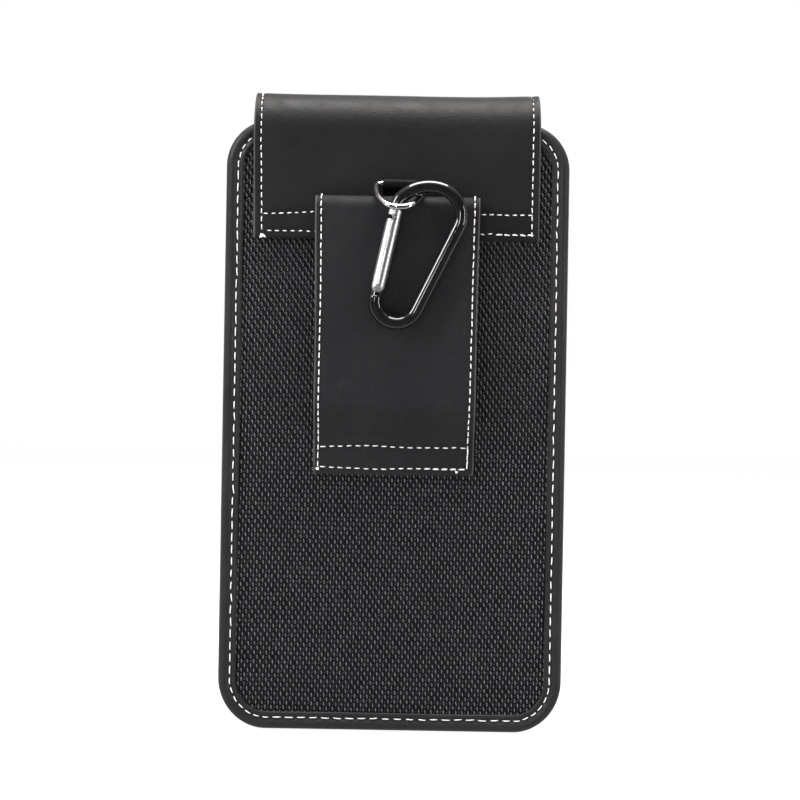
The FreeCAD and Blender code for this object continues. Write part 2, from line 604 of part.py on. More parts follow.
into_corner = math.degrees(math.atan2(corner.y - side.y, corner.x - side.x))
into_tip = math.degrees(math.atan2(tip.y - side.y, tip.x - side.x))
ring_names = chain(ring_line, [
    run(Vector(corner_left.x, 0, 0), Vector(corner.x, 0, 0)),
    bend(corner, size("sizes.ring_corner"), -90, into_corner),
    bend(side, size(SIDE_BEND), into_corner, into_tip),
    bend(tip, size("sizes.ring_tip"), into_tip, 180 - into_tip),
    bend(side_left, size(SIDE_BEND), 180 - into_tip, 180 - into_corner),
    bend(corner_left, size("sizes.ring_corner"), 180 - into_corner, 270),
], closed=True)
hold(ring_line, "Radius", "sizes.ring_corner", ring_names[1])
hold(ring_line, "Radius", "sizes.ring_tip", ring_names[3])
hold(ring_line, "Radius", "sizes.ring_corner", ring_names[5])
hold_point(ring_line, ring_names[2], 3, f"-{SIDE_X}", "sizes.ring_shoulder")
hold_point(ring_line, ring_names[3], 3, "0", TIP_Y)
hold_point(ring_line, ring_names[4], 3, SIDE_X, "sizes.ring_shoulder")
wire_section(ring, ring_line, "sizes.ring_wire")
placed(ring, "sizes.ring_shift", BAR_Y, BAR_Z, Vector(1, 0, 0), "180 + sizes.ring_slope")

# The carabiner's wire: nose, wide top bend, shoulder, straight side, lower bend and hinge stub.
carabiner = new_body("carabiner_body")
spine = on_plane(carabiner, "XZ_Plane", "carabiner_line", CARABINER_Y)
foot = Vector(size("sizes.foot_across"), size("sizes.foot_height"), 0)
shoulder = Vector(size("sizes.shoulder_across"), size("sizes.shoulder_height"), 0)
foot_radius, shoulder_radius = size("sizes.foot_radius"), size("sizes.shoulder_radius")
head_radius, nose_radius = size("sizes.head_radius"), size("sizes.nose_radius")
head_turn, lean = size("sizes.head_turn"), size("sizes.gate_lean")
head = polar(shoulder, shoulder_radius - head_radius, head_turn)
hinge = Vector(size(HINGE_X), size(HINGE_Z), 0)
up_gate, off_gate = polar(Vector(), 1, 90 - lean), polar(Vector(), 1, -lean)
from_head = hinge + off_gate * nose_radius - head
along = from_head.dot(up_gate)
reach = (head_radius - nose_radius) ** 2 - from_head.dot(from_head) + along ** 2
nose_foot = math.sqrt(reach) - along
nose = hinge + up_gate * nose_foot + off_gate * nose_radius
nose_turn = math.degrees(math.atan2(nose.y - head.y, nose.x - head.x))
side_run = foot - shoulder
side_turn = math.degrees(math.atan2(side_run.y, side_run.x)) + 90
side_turn -= math.degrees(math.asin((shoulder_radius - foot_radius) / side_run.Length))
stub_top = size(f"{HEEL} + sizes.heel_gap")
names = chain(spine, [
    run(hinge + up_gate * size(NOSE_TOP), hinge + up_gate * nose_foot),
    bend(nose, nose_radius, 180 - lean, nose_turn),
    bend(head, head_radius, nose_turn, head_turn),
    bend(shoulder, shoulder_radius, head_turn, side_turn),
    run(polar(shoulder, shoulder_radius, side_turn), polar(foot, foot_radius, side_turn)),
    bend(foot, foot_radius, side_turn, -180 - lean),
    run(polar(foot, foot_radius, 180 - lean), hinge - up_gate * stub_top),
], closed=False)
hold(spine, "Radius", "sizes.nose_radius", names[1])
hold(spine, "Radius", "sizes.head_radius", names[2])
hold(spine, "Radius", "sizes.shoulder_radius", names[3])
hold(spine, "Radius", "sizes.foot_radius", names[5])
hold_point(spine, names[3], 3, "sizes.shoulder_across", "sizes.shoulder_height")
hold_point(spine, names[5], 3, "sizes.foot_across", "sizes.foot_height")
hold_point(spine, names[0], 1, f"{HINGE_X} + {NOSE_TOP} * sin(sizes.gate_lean)",
           f"{HINGE_Z} + {NOSE_TOP} * cos(sizes.gate_lean)")
STUB_TOP = f"({HEEL} + sizes.heel_gap)"
hold_point(spine, names[6], 2, f"{HINGE_X} - {STUB_TOP} * sin(sizes.gate_lean)",
           f"{HINGE_Z} - {STUB_TOP} * cos(sizes.gate_lean)")
wire_section(carabiner, spine, "sizes.carabiner_wire")


def along_gate(sketch, corners):
    """Draws corners given as (off the gate's line, up the gate's line)."""
    turned = []
    for off, up, *radius in corners:
        across = f"({HINGE_X} + ({off}) * cos(sizes.gate_lean) + ({up}) * sin(sizes.gate_lean))"
        height = f"({HINGE_Z} - ({off}) * sin(sizes.gate_lean) + ({up}) * cos(sizes.gate_lean))"
        turned.append((across, height, *radius))
    draw(sketch, turned)


TONGUE_Y = f"({CARABINER_Y} - sizes.tongue_thick / 2)"
HALF_TONGUE = "(sizes.tongue_width / 2)"
TONGUE_ROUND = "(0.48 * sizes.tongue_width)"
heel_tongue = on_plane(carabiner, "XZ_Plane", "heel_tongue_outline", TONGUE_Y)
along_gate(heel_tongue, [(f"-{HALF_TONGUE}", f"-{STUB_TOP} - sizes.heel_gap"),
                         (HALF_TONGUE, f"-{STUB_TOP} - sizes.heel_gap"),
                         (HALF_TONGUE, HALF_TONGUE, TONGUE_ROUND),
                         (f"-{HALF_TONGUE}", HALF_TONGUE, TONGUE_ROUND)])
pad(carabiner, "heel_tongue", heel_tongue, "sizes.tongue_thick")
nose_tongue = on_plane(carabiner, "XZ_Plane", "nose_tongue_outline", TONGUE_Y)
NOSE_END = f"({NOSE_TOP} - sizes.nose_tongue)"
along_gate(nose_tongue, [(f"-{HALF_TONGUE}", NOSE_END, TONGUE_ROUND),
                         (HALF_TONGUE, NOSE_END, TONGUE_ROUND),
                         (HALF_TONGUE, f"{NOSE_TOP} + sizes.nose_gap"),
                         (f"-{HALF_TONGUE}", f"{NOSE_TOP} + sizes.nose_gap")])
pad(carabiner, "nose_tongue", nose_tongue, "sizes.tongue_thick")
CATCH_UP = "(sizes.gate_length - sizes.catch_drop)"
pin_holes = on_plane(carabiner, "XZ_Plane", "pin_holes", TONGUE_Y)
circle(pin_holes, HINGE_X, HINGE_Z, "sizes.pin_across")
circle(pin_holes, f"{HINGE_X} + {CATCH_UP} * sin(sizes.gate_lean)",
       f"{HINGE_Z} + {CATCH_UP} * cos(sizes.gate_lean)", "sizes.catch_across")
pocket(carabiner, "pin_holes_cut", pin_holes, "sizes.tongue_thick")


def in_gate_frame(label):
    """A sub-part drawn with the hinge at its origin and the gate upright, then leaned into place."""
    body = new_body(label)
    placed(body, HINGE_X, CARABINER_Y, HINGE_Z, Vector(0, 1, 0), "sizes.gate_lean")
    return body


def pin(label, up, diameter):
    """A cross pin through the gate's line."""
    body = in_gate_frame(label)
    sketch = on_plane(body, "XZ_Plane", f"{label}_outline")
    circle(sketch, "0", up, diameter)
    pad(body, f"{label}_shank", sketch, "0.92 * sizes.gate_across", both_ways=True)


pin("gate_hinge_pin", "0", "sizes.pin_across")
pin("nose_catch_pin", CATCH_UP, "sizes.catch_across")

# The gate: a turned tube, slotted for the tongues at both ends, with a bore for its spring.
gate = in_gate_frame("carabiner_gate")
gate_sketch = on_plane(gate, "XY_Plane", "gate_section")
circle(gate_sketch, "0", "0", "sizes.gate_across")
pad(gate, "gate_barrel", gate_sketch, "sizes.gate_length")
heel = gate.newObject("PartDesign::AdditiveSphere", "gate_heel")
heel.setExpression("Radius", HEEL)
doc.recompute()
HALF_SLOT = f"({SLOT_WIDTH} / 2)"
BEYOND = "(2 * sizes.gate_across)"


def gate_slot(name, low, high):
    """A slot across the gate, open to both sides."""
    sketch = on_plane(gate, "YZ_Plane", f"{name}_outline")
    draw(sketch, box_outline(f"-{HALF_SLOT}", HALF_SLOT, low, high))
    pocket(gate, name, sketch, BEYOND, both_ways=True)


gate_slot("heel_slot", f"-{BEYOND}", "sizes.heel_slot")
gate_slot("nose_slot", "sizes.gate_length - sizes.nose_slot", f"sizes.gate_length + {HEEL}")
hinge_bore = on_plane(gate, "XZ_Plane", "hinge_bore_outline")
circle(hinge_bore, "0", "0", "sizes.pin_across + 2 * sizes.pin_gap")
pocket(gate, "hinge_bore", hinge_bore, BEYOND, both_ways=True)
HALF_NOTCH = "(sizes.catch_across / 2 + sizes.catch_gap)"
catch_notch = on_plane(gate, "XZ_Plane", "catch_notch_outline")
draw(catch_notch, box_outline(f"-{BEYOND}", HALF_NOTCH, f"{CATCH_UP} - {HALF_NOTCH}",
                              f"{CATCH_UP} + {HALF_NOTCH}"))
pocket(gate, "catch_notch", catch_notch, BEYOND, both_ways=True)
spring_bore = on_plane(gate, "XY_Plane", "spring_bore_outline", "sizes.heel_slot + sizes.gate_bore_length")
circle(spring_bore, "0", "0", "sizes.gate_bore")
pocket(gate, "spring_bore", spring_bore, "sizes.gate_bore_length")

plunger = in_gate_frame("gate_plunger")
plunger_sketch = on_plane(plunger, "XY_Plane", "plunger_section", "sizes.heel_slot")
SLIDING = "(sizes.gate_bore - 2 * sizes.plunger_gap)"
circle(plunger_sketch, "0", "0", SLIDING)
pad(plunger, "plunger_rod", plunger_sketch, "sizes.plunger_length")

spring = in_gate_frame("gate_spring")
spring_sketch = on_plane(spring, "XY_Plane", "spring_section", "sizes.heel_slot + sizes.plunger_length")
circle(spring_sketch, "0", "0", SLIDING)
circle(spring_sketch, "0", "0", f"{SLIDING} - 2 * sizes.spring_wire")
pad(spring, "spring_tube", spring_sketch, "sizes.gate_bore_length - sizes.plunger_length")

doc.recompute()
for item in doc.Objects:
    if {"Invalid", "Error"} & set(item.State):
        raise ValueError(f"{item.Label} did not build: {item.State}")
os.makedirs("parts", exist_ok=True)
for node in NODES:
    shape = node.Shape
    if shape.isNull() or not shape.isValid() or len(shape.Solids) != 1:
        raise ValueError(f"{node.Label} is not one sound solid")
    shape.exportStep(f"parts/{node.Label}.step")
    box = shape.BoundBox
    print(f"{node.Label:20s} {shape.Volume:9.1f}  x {box.XMin:7.2f} {box.XMax:7.2f}"
          f"  y {box.YMin:7.2f} {box.YMax:7.2f}  z {box.ZMin:8.2f} {box.ZMax:7.2f}")
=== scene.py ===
import json
import math
from collections import namedtuple

import bmesh
import bpy
import numpy as np
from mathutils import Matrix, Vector


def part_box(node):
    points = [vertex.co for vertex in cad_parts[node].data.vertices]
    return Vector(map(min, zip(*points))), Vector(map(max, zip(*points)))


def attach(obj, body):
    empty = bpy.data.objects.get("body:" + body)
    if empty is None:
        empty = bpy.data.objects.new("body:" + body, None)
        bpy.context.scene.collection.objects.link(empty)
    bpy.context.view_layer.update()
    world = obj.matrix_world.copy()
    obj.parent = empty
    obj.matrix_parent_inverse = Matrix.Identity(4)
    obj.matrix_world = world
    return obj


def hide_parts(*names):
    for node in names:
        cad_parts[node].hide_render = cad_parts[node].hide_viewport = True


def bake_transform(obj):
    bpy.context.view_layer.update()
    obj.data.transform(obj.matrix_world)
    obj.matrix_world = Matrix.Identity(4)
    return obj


# The looks of the phone belt holster. Shapes are worked out in millimetres in the row's frame, with X
# along the belt, Z up and -Y towards the belt loop, and are written to the meshes in metres.

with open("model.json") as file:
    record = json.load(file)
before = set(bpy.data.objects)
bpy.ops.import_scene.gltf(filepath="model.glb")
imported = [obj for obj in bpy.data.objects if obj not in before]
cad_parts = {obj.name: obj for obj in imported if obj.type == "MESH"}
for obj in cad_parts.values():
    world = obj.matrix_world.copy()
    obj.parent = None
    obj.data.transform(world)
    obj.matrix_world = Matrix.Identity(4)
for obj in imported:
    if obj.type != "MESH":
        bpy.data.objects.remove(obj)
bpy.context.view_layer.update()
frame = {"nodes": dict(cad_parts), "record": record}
MM = 0.001
rng = np.random.default_rng(11)
Box = namedtuple("Box", "left near low right far high")


def box_mm(node):
    """A node's box at rest, in millimetres to a thousandth. Near is the side of the belt loop."""
    return Box(*(round(value / MM, 3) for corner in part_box(node) for value in corner))


def joint_mm(name):
    """A joint's place, in millimetres to a thousandth."""
    joint = next(joint for joint in frame["record"]["behaviour"]["joints"] if joint["name"] == name)
    return [round(value / MM, 3) for value in joint["pos_m"]]


# ---- materials

# The noise in the materials, in waves per metre.
CLOUDS, SPECKLES, SMEARS, SWELLS = 45, 2600, 260, 120
PATCHES, MARKS, STAINS = 900, 900, 240


def new_material(name):
    """An empty node material, with its nodes, its links and its output."""
    material = bpy.data.materials.new(name)
    material.use_nodes = True
    nodes, links = material.node_tree.nodes, material.node_tree.links
    nodes.clear()
    return material, nodes, links, nodes.new("ShaderNodeOutputMaterial")


def place_in(nodes, links, stretch=(1, 1, 1)):
    """Object coordinates, stretched."""
    where = nodes.new("ShaderNodeTexCoord")
    mapping = nodes.new("ShaderNodeMapping")
    mapping.inputs["Scale"].default_value = stretch
    links.new(where.outputs["Object"], mapping.inputs["Vector"])
    return mapping.outputs["Vector"]


def graded(nodes, links, vector, axis, low, high, at_low, at_high):
    """A value that changes evenly between two places on an axis and is level beyond them."""
    parts, node = nodes.new("ShaderNodeSeparateXYZ"), nodes.new("ShaderNodeMapRange")
    links.new(vector, parts.inputs[0])
    links.new(parts.outputs[axis], node.inputs["Value"])
    for limit, value in zip(("From Min", "From Max", "To Min", "To Max"), (low, high, at_low, at_high)):
        node.inputs[limit].default_value = value
    return node.outputs["Result"]


def larger(nodes, links, one, other):
    """The larger of two values."""
    node = nodes.new("ShaderNodeMath")
    node.operation = "MAXIMUM"
    links.new(one, node.inputs[0])
    links.new(other, node.inputs[1])
    return node.outputs[0]


def chosen(nodes, links, factor, one, other):
    """The first of two shaders where the factor is 0 and the second where it is 1."""
    node = nodes.new("ShaderNodeMixShader")
    for socket, value in zip(node.inputs, (factor, one, other)):
        links.new(value, socket)
    return node.outputs[0]


def noise(nodes, links, vector, scale, detail=3, rough=0.5):
    """Noise between 0 and 1."""
    node = nodes.new("ShaderNodeTexNoise")
    node.inputs["Scale"].default_value = scale
    node.inputs["Detail"].default_value = detail
    node.inputs["Roughness"].default_value = rough
    links.new(vector, node.inputs["Vector"])
    return node.outputs["Fac"]


def ramp(nodes, links, factor, stops):
    """A colour ramp with (position, grey or colour) stops."""
    node = nodes.new("ShaderNodeValToRGB")
    elements = node.color_ramp.elements
    while len(elements) < len(stops):
        elements.new(0.5)
    for element, (position, colour) in zip(elements, stops):
        element.position = position
        colour = (colour,) * 3 if isinstance(colour, (int, float)) else colour
        element.color = (*colour, 1)
    links.new(factor, node.inputs["Fac"])
    return node.outputs["Color"]


def mixed(nodes, links, kind, factor, one, other):
    """Two colours mixed; the factor is a number or a socket."""
    node = nodes.new("ShaderNodeMix")
    node.data_type = "RGBA"
    node.blend_type = kind
    if isinstance(factor, (int, float)):
        node.inputs["Factor"].default_value = factor
    else:
        links.new(factor, node.inputs["Factor"])
    for socket, value in ((node.inputs[6], one), (node.inputs[7], other)):
        if isinstance(value, tuple):
            socket.default_value = (*value, 1)
        else:
            links.new(value, socket)
    return node.outputs[2]


def bump(nodes, links, height, distance, strength=1.0, after=None):
    """A normal raised by a height, after another bump where one is given."""
    node = nodes.new("ShaderNodeBump")
    node.inputs["Distance"].default_value = distance
    node.inputs["Strength"].default_value = strength
    links.new(height, node.inputs["Height"])
    if after is not None:
        links.new(after, node.inputs["Normal"])
    return node.outputs["Normal"]


def surface(nodes, links, output, colour, rough, normal, **fixed):
    """A principled shader; numbers that are the same all over are set on its own sockets."""
    shader = nodes.new("ShaderNodeBsdfPrincipled")
    for socket, value in (("Base Color", colour), ("Roughness", rough)):
        if isinstance(value, (int, float, tuple)):
            shader.inputs[socket].default_value = (*value, 1) if isinstance(value, tuple) else value
        else:
            links.new(value, shader.inputs[socket])
    if normal is not None:
        links.new(normal, shader.inputs["Normal"])
    for name, value in fixed.items():
        shader.inputs[name.replace("_", " ")].default_value = value
    links.new(shader.outputs["BSDF"], output.inputs["Surface"])


def leather(name, dark, light, rough=0.5, grain=0.00005, specular=0.3, cell=1500):
    """Smooth synthetic leather: fine grain on slow waves, with a cloudy and speckled tone."""
    material, nodes, links, output = new_material(name)
    where = place_in(nodes, links)
    clouds = ramp(nodes, links, noise(nodes, links, where, CLOUDS, 4, 0.6), [(0.3, dark), (0.72, light)])
    fine = noise(nodes, links, where, SPECKLES, 2)
    speckle = ramp(nodes, links, fine, [(0.3, 0.78), (0.7, 1.2)])
    colour = mixed(nodes, links, "MULTIPLY", 1.0, clouds, speckle)
    cells = nodes.new("ShaderNodeTexVoronoi")
    cells.inputs["Scale"].default_value = cell
    cells.feature = "SMOOTH_F1"
    links.new(where, cells.inputs["Vector"])
    smears = noise(nodes, links, where, SMEARS)
    roughness = ramp(nodes, links, smears, [(0.3, rough - 0.07), (0.7, rough + 0.07)])
    waves = bump(nodes, links, noise(nodes, links, where, SWELLS), 0.0002, 0.5)
    normal = bump(nodes, links, cells.outputs["Distance"], grain, 1.0, waves)
    surface(nodes, links, output, colour, roughness, normal, Specular_IOR_Level=specular)
    return material


def cloth(name, dark, light, scale, rough=0.85, sheen=0.2, depth=0.0001, specular=0.2):
    """Close cloth, board or thread: fine fibres and soft patches."""
    material, nodes, links, output = new_material(name)
    where = place_in(nodes, links)
    threads = noise(nodes, links, where, scale, 4, 0.65)
    patches = noise(nodes, links, where, scale / 7)
    both = mixed(nodes, links, "MIX", 0.35, threads, patches)
    colour = ramp(nodes, links, both, [(0.25, dark), (0.75, light)])
    normal = bump(nodes, links, both, depth)
    surface(nodes, links, output, colour, rough, normal, Specular_IOR_Level=specular,
            Sheen_Weight=sheen, Sheen_Roughness=0.5)
    return material


def yarn(name, dark, light, along, rough=0.5, specular=0.45, painted_light_by_height=None):
    """Nylon yarn with fine filaments along X or Z. Painted light by height, where given, is two heights and how
    bright the yarn is painted at each.
    """
    material, nodes, links, output = new_material(name)
    where = place_in(nodes, links)
    stretch = (9000, 3000, 1200) if along == "Z" else (1200, 3000, 9000)
    filaments = noise(nodes, links, place_in(nodes, links, stretch), 1.0, 3, 0.6)
    patches = noise(nodes, links, where, PATCHES, 2)
    both = mixed(nodes, links, "MIX", 0.5, filaments, patches)
    colour = ramp(nodes, links, both, [(0.3, dark), (0.7, light)])
    # Painted light: the colour is scaled by height, so the yarn is painted lighter towards the top.
    if painted_light_by_height:
        colour = mixed(nodes, links, "MULTIPLY", 1.0, colour, graded(nodes, links, where, "Z", *painted_light_by_height))
    normal = bump(nodes, links, filaments, 0.00006)
    surface(nodes, links, output, colour, rough, normal, Specular_IOR_Level=specular)
    return material


def metal(name, low, high, rough, stretch, depth, metallic=1.0, **fixed):
    """Plated, anodised or turned metal, with fine marks one way and faint stains."""
    material, nodes, links, output = new_material(name)
    marks = noise(nodes, links, place_in(nodes, links, stretch), MARKS, 3, 0.6)
    stains = noise(nodes, links, place_in(nodes, links), STAINS)
    colour = ramp(nodes, links, stains, [(0.3, low), (0.7, high)])
    roughness = ramp(nodes, links, marks, [(0.3, max(rough - 0.05, 0.02)), (0.75, rough + 0.07)])
    normal = bump(nodes, links, marks, depth)
    surface(nodes, links, output, colour, roughness, normal, Metallic=metallic, **fixed)
    return material


FLAP = leather("flap_leather", (0.0088, 0.0088, 0.0096), (0.0124, 0.0124, 0.0132), 0.5, specular=0.12)
LOOP = leather("loop_leather", (0.0114, 0.0116, 0.0131), (0.0159, 0.0161, 0.0175), 0.62, specular=0.07)
# The tab's leather is painted near-black: painted shade where the tab sits under the ring.
TAB_PAINTED_SHADE = leather("tab_leather_painted_shade", (0.0030, 0.0030, 0.0034), (0.0050, 0.0050, 0.0055), 0.55, specular=0.06)
BORDER = leather("border_leather", (0.0118, 0.0119, 0.0130), (0.0172, 0.0173, 0.0185), 0.42, 0.00004, 0.2)
CUT_EDGE = leather("cut_edge", (0.036, 0.036, 0.037), (0.066, 0.065, 0.064), 0.7, 0.00004, 0.15, 2600)
LINING = cloth("lining_cloth", (0.014, 0.014, 0.016), (0.03, 0.03, 0.032), 1800)
# The nylon is one black yarn in lit and shaded copies: the warp is painted light as painted sheen, the weft a
# little lighter than black, and the deep ground near-black as painted shade.
WARP_PAINTED_SHEEN = yarn("warp_yarn_painted_sheen", (0.076, 0.077, 0.082), (0.182, 0.184, 0.193), "Z", 0.5, 0.3)
WEFT = yarn("weft_yarn", (0.0320, 0.0325, 0.0365), (0.0700, 0.0710, 0.0770), "X", 0.65, 0.12)
# Painted highlight: the cross strokes are weft yarn painted lighter where it would catch the light, and painted
# lighter still towards the panel's top.
CROSS_PAINTED_HIGHLIGHT = yarn("cross_yarn_painted_highlight", (0.048, 0.048, 0.0505), (0.125, 0.125, 0.130), "X", 0.55, 0.15,
             (-0.035, 0.02, 0.10, 1.0))
DEEP_PAINTED_SHADE = yarn("deep_yarn_painted_shade", (0.0036, 0.0036, 0.0045), (0.0066, 0.0067, 0.0079), "X", 0.8, 0.05)
THREAD = cloth("white_thread", (0.62, 0.61, 0.59), (0.86, 0.85, 0.83), 5000, 0.7, 0.1, 0.00005, 0.3)
BOARD = cloth("pressed_board", (0.03, 0.03, 0.03), (0.07, 0.07, 0.068), 700, 0.9, 0.0)
CHROME = metal("bright_plate", (0.70, 0.69, 0.68), (0.80, 0.79, 0.78), 0.1, (1, 1, 1), 0.000004)
BLACK = metal("black_gloss", (0.004, 0.004, 0.0043), (0.007, 0.007, 0.0073), 0.1, (1, 1, 1), 0.000004,
              metallic=0.0, Specular_IOR_Level=0.45, Coat_Weight=0.35, Coat_Roughness=0.05)
SILVER = metal("turned_metal", (0.60, 0.605, 0.61), (0.72, 0.725, 0.73), 0.36, (0.2, 0.2, 3), 0.000006)
PIN = metal("pin_metal", (0.5, 0.5, 0.51), (0.62, 0.62, 0.63), 0.3, (1, 4, 1), 0.00001)
MAGNET = metal("magnet_plate", (0.46, 0.46, 0.47), (0.58, 0.58, 0.59), 0.32, (1, 1, 1), 0.00001)

# ---- lines and meshes

BEND_STEPS = 40
LINE_STEPS = 2400


class Bent:
    """A line of straight runs with rounded corners, sampled finely and measured along its length. Corners are
    (y, z, radius), the two ends (y, z), and side is 1 where the outer face is on the line's left."""

    def __init__(self, corners, side):
        points = [np.array(corners[0][:2], float)]
        for index in range(1, len(corners) - 1):
            before, here, after = (np.array(corners[i][:2], float) for i in (index - 1, index, index + 1))
            radius = corners[index][2]
            back, on = before - here, after - here
            back, on = back / np.linalg.norm(back), on / np.linalg.norm(on)
            half = math.acos(np.clip(back @ on, -1, 1)) / 2
            middle = back + on
            centre = here + middle / np.linalg.norm(middle) * radius / math.sin(half)
            first, last = here + back * radius / math.tan(half), here + on * radius / math.tan(half)
            start = math.atan2(*(first - centre)[::-1])
            sweep = math.atan2(*(last - centre)[::-1]) - start
            sweep = (sweep + math.pi) % (2 * math.pi) - math.pi
            for step in np.linspace(0, 1, BEND_STEPS):
                angle = start + sweep * step
                points.append(centre + radius * np.array([math.cos(angle), math.sin(angle)]))
        points.append(np.array(corners[-1][:2], float))
        rough = np.array(points)
        keep = np.r_[True, np.linalg.norm(np.diff(rough, axis=0), axis=1) > 1e-6]
        rough = rough[keep]
        lengths = np.r_[0, np.cumsum(np.linalg.norm(np.diff(rough, axis=0), axis=1))]
        self.length = lengths[-1]
        self.s = np.linspace(0, self.length, LINE_STEPS)
        self.points = np.stack([np.interp(self.s, lengths, rough[:, i]) for i in (0, 1)], 1)
        tangent = np.gradient(self.points, self.s, axis=0)
        tangent /= np.linalg.norm(tangent, axis=1, keepdims=True)
        self.normals = side * np.stack([-tangent[:, 1], tangent[:, 0]], 1)

    def at(self, x, s, height):
        """Points at a place across, a length along and a height above the outer face."""
        x, s, height = np.broadcast_arrays(np.asarray(x, float), s, height)
        over = np.clip(s, 0, self.length)
        y, z = (np.interp(over, self.s, self.points[:, i]) for i in (0, 1))
        ny, nz = (np.interp(over, self.s, self.normals[:, i]) for i in (0, 1))
        return np.stack([x, y + ny * height, z + nz * height], -1)


def outward(mesh):
    """Turns all faces to point out."""
    edit = bmesh.new()
    edit.from_mesh(mesh)
    bmesh.ops.recalc_face_normals(edit, faces=edit.faces)
    edit.to_mesh(mesh)
    edit.free()


def piece(name, points, faces, materials, slot, body=None, indices=None, replaced=(), smooth=True, shell=True):
    """A mesh object from points in millimetres. A shell's faces are turned to point out."""
    mesh = bpy.data.meshes.new(name)
    mesh.from_pydata((np.asarray(points, float) * MM).tolist(), [], faces)
    for material in materials:
        mesh.materials.append(material)
    if indices is not None:
        mesh.polygons.foreach_set("material_index", np.asarray(indices, np.int32))
    mesh.polygons.foreach_set("use_smooth", np.full(len(mesh.polygons), smooth))
    mesh.validate()
    mesh.update()
    if shell:
        outward(mesh)
    obj = bpy.data.objects.new(name, mesh)
    bpy.context.scene.collection.objects.link(obj)
    if body:
        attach(obj, body)
    if replaced:
        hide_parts(*replaced)
    return obj


def rings(count, size, closed=False, start=0):
    """Quads that join rings of points, each ring closed on itself."""
    faces = []
    for row in range(count if closed else count - 1):
        one, two = start + row * size, start + (row + 1) % count * size
        faces += [(one + i, one + (i + 1) % size, two + (i + 1) % size, two + i) for i in range(size)]
    return faces


def capped(count, size, start=0):
    """Rings with both ends closed."""
    last = start + (count - 1) * size
    return (rings(count, size, False, start) + [tuple(range(start + size - 1, start - 1, -1))]
            + [tuple(range(last, last + size))])


def tube(path, radius, sides, closed=False, axis=(0, 0, 1)):
    """Points and faces of a round wire; its path lies in a plane square to the axis."""
    path, axis = np.asarray(path, float), np.asarray(axis, float)
    if closed:
        tangent = np.roll(path, -1, 0) - np.roll(path, 1, 0)
    else:
        tangent = np.gradient(path, axis=0)
    tangent /= np.linalg.norm(tangent, axis=1, keepdims=True)
    out = np.cross(tangent, axis)
    out /= np.linalg.norm(out, axis=1, keepdims=True)
    angles = np.linspace(0, 2 * math.pi, sides, endpoint=False)
    radius = np.broadcast_to(np.asarray(radius, float), (len(path),))[:, None, None]
    points = path[:, None] + radius * (np.cos(angles)[None, :, None] * out[:, None]
                                       + np.sin(angles)[None, :, None] * axis[None, None])
    faces = rings(len(path), sides, True) if closed else capped(len(path), sides)
    return points.reshape(-1, 3), faces


def arcs(pieces, step=0.35):
    """A flat path of runs ("run", start, end) and bends ("bend", centre, radius, from, to), in degrees."""
    path = []
    for kind, *values in pieces:
        if kind == "run":
            start, end = (np.array(value, float) for value in values)
            count = max(2, int(np.linalg.norm(end - start) / step))
            part = [start + (end - start) * t for t in np.linspace(0, 1, count)]
        else:
            centre, radius, first, last = values
            count = max(6, int(abs(math.radians(last - first)) * radius / step))
            part = [np.array(centre) + radius * np.array([math.cos(a), math.sin(a)])
                    for a in np.radians(np.linspace(first, last, count))]
        path += part[1:] if path else part
    return np.array(path)


def seam(path, pitch, length, wander=0.07):
    """Stitches along a path: the ends of each, measured along it, and the line that they follow."""
    path = np.asarray(path, float)
    lengths = np.r_[0, np.cumsum(np.linalg.norm(np.diff(path, axis=0), axis=1))]
    count = int(lengths[-1] / pitch)
    pitch = lengths[-1] / max(count, 1)
    ends = []
    for index in range(count):
        middle = (index + 0.5) * pitch + rng.normal(0, 0.04)
        half = length / 2 * (1 + rng.normal(0, 0.06))
        ends.append((middle - half, middle + half, rng.normal(0, wander)))

    def follow(at):
        """The path's places at lengths along it."""
        return np.stack([np.interp(at, lengths, path[:, i]) for i in (0, 1)], -1)

    return ends, follow


STITCH_STEPS, STITCH_SIDES = 9, 8
STITCH_DIP = 0.32


def stitches(seams, place, radius=0.3, lift=0.22, base=0.0):
    """Threads, each a short twisted cord that dips into the leather at both ends."""
    points, faces = [], []
    steps, sides = STITCH_STEPS, STITCH_SIDES
    angles = np.linspace(0, 2 * math.pi, sides, endpoint=False)
    for ends, follow in seams:
        for first, last, off in ends:
            t = np.linspace(0, 1, steps)
            flat = follow(first + (last - first) * t)
            tangent = np.gradient(flat, axis=0)
            tangent /= np.linalg.norm(tangent, axis=1, keepdims=True) + 1e-9
            aside = np.stack([-tangent[:, 1], tangent[:, 0]], 1)
            height = base - STITCH_DIP + (lift + 0.4) * np.sin(math.pi * t) ** 0.5
            thick = radius * (0.72 + 0.28 * np.sin(math.pi * t) ** 0.6)
            twist = 3.4 * t[:, None] * math.pi * (last - first) / 2.2
            lobes = thick[:, None] * (1 + 0.16 * np.cos(2 * (angles[None] - twist)))
            across = lobes * np.cos(angles)[None]
            up = 0.85 * lobes * np.sin(angles)[None]
            where = flat[:, None] + aside[:, None] * (across[..., None] + off * t[:, None, None])
            ring = place(where[..., 0], where[..., 1], height[:, None] + up)
            faces += capped(steps, sides, len(points) * steps * sides)
            points.append(ring.reshape(-1, 3))
    return np.concatenate(points), faces


def sunk(x, s, seams, groove=0.1, hole=0.3):
    """How far the leather is drawn in along its seams, and at each hole."""
    depth = np.zeros(np.broadcast(x, s).shape)
    for ends, follow in seams:
        low, high = ends[0][0], ends[-1][1]
        line = follow(np.arange(low, high, 0.4))
        holes = follow(np.array([end for first, last, off in ends for end in (first, last)]))
        for marks, deep, wide in ((line, groove, 0.55), (holes, hole, 0.3)):
            near = np.full(depth.shape, 1e9)
            for px, ps in marks:
                near = np.minimum(near, (x - px) ** 2 + (s - ps) ** 2)
            depth = np.maximum(depth, deep * np.exp(-near / (2 * wide ** 2)))
    return depth


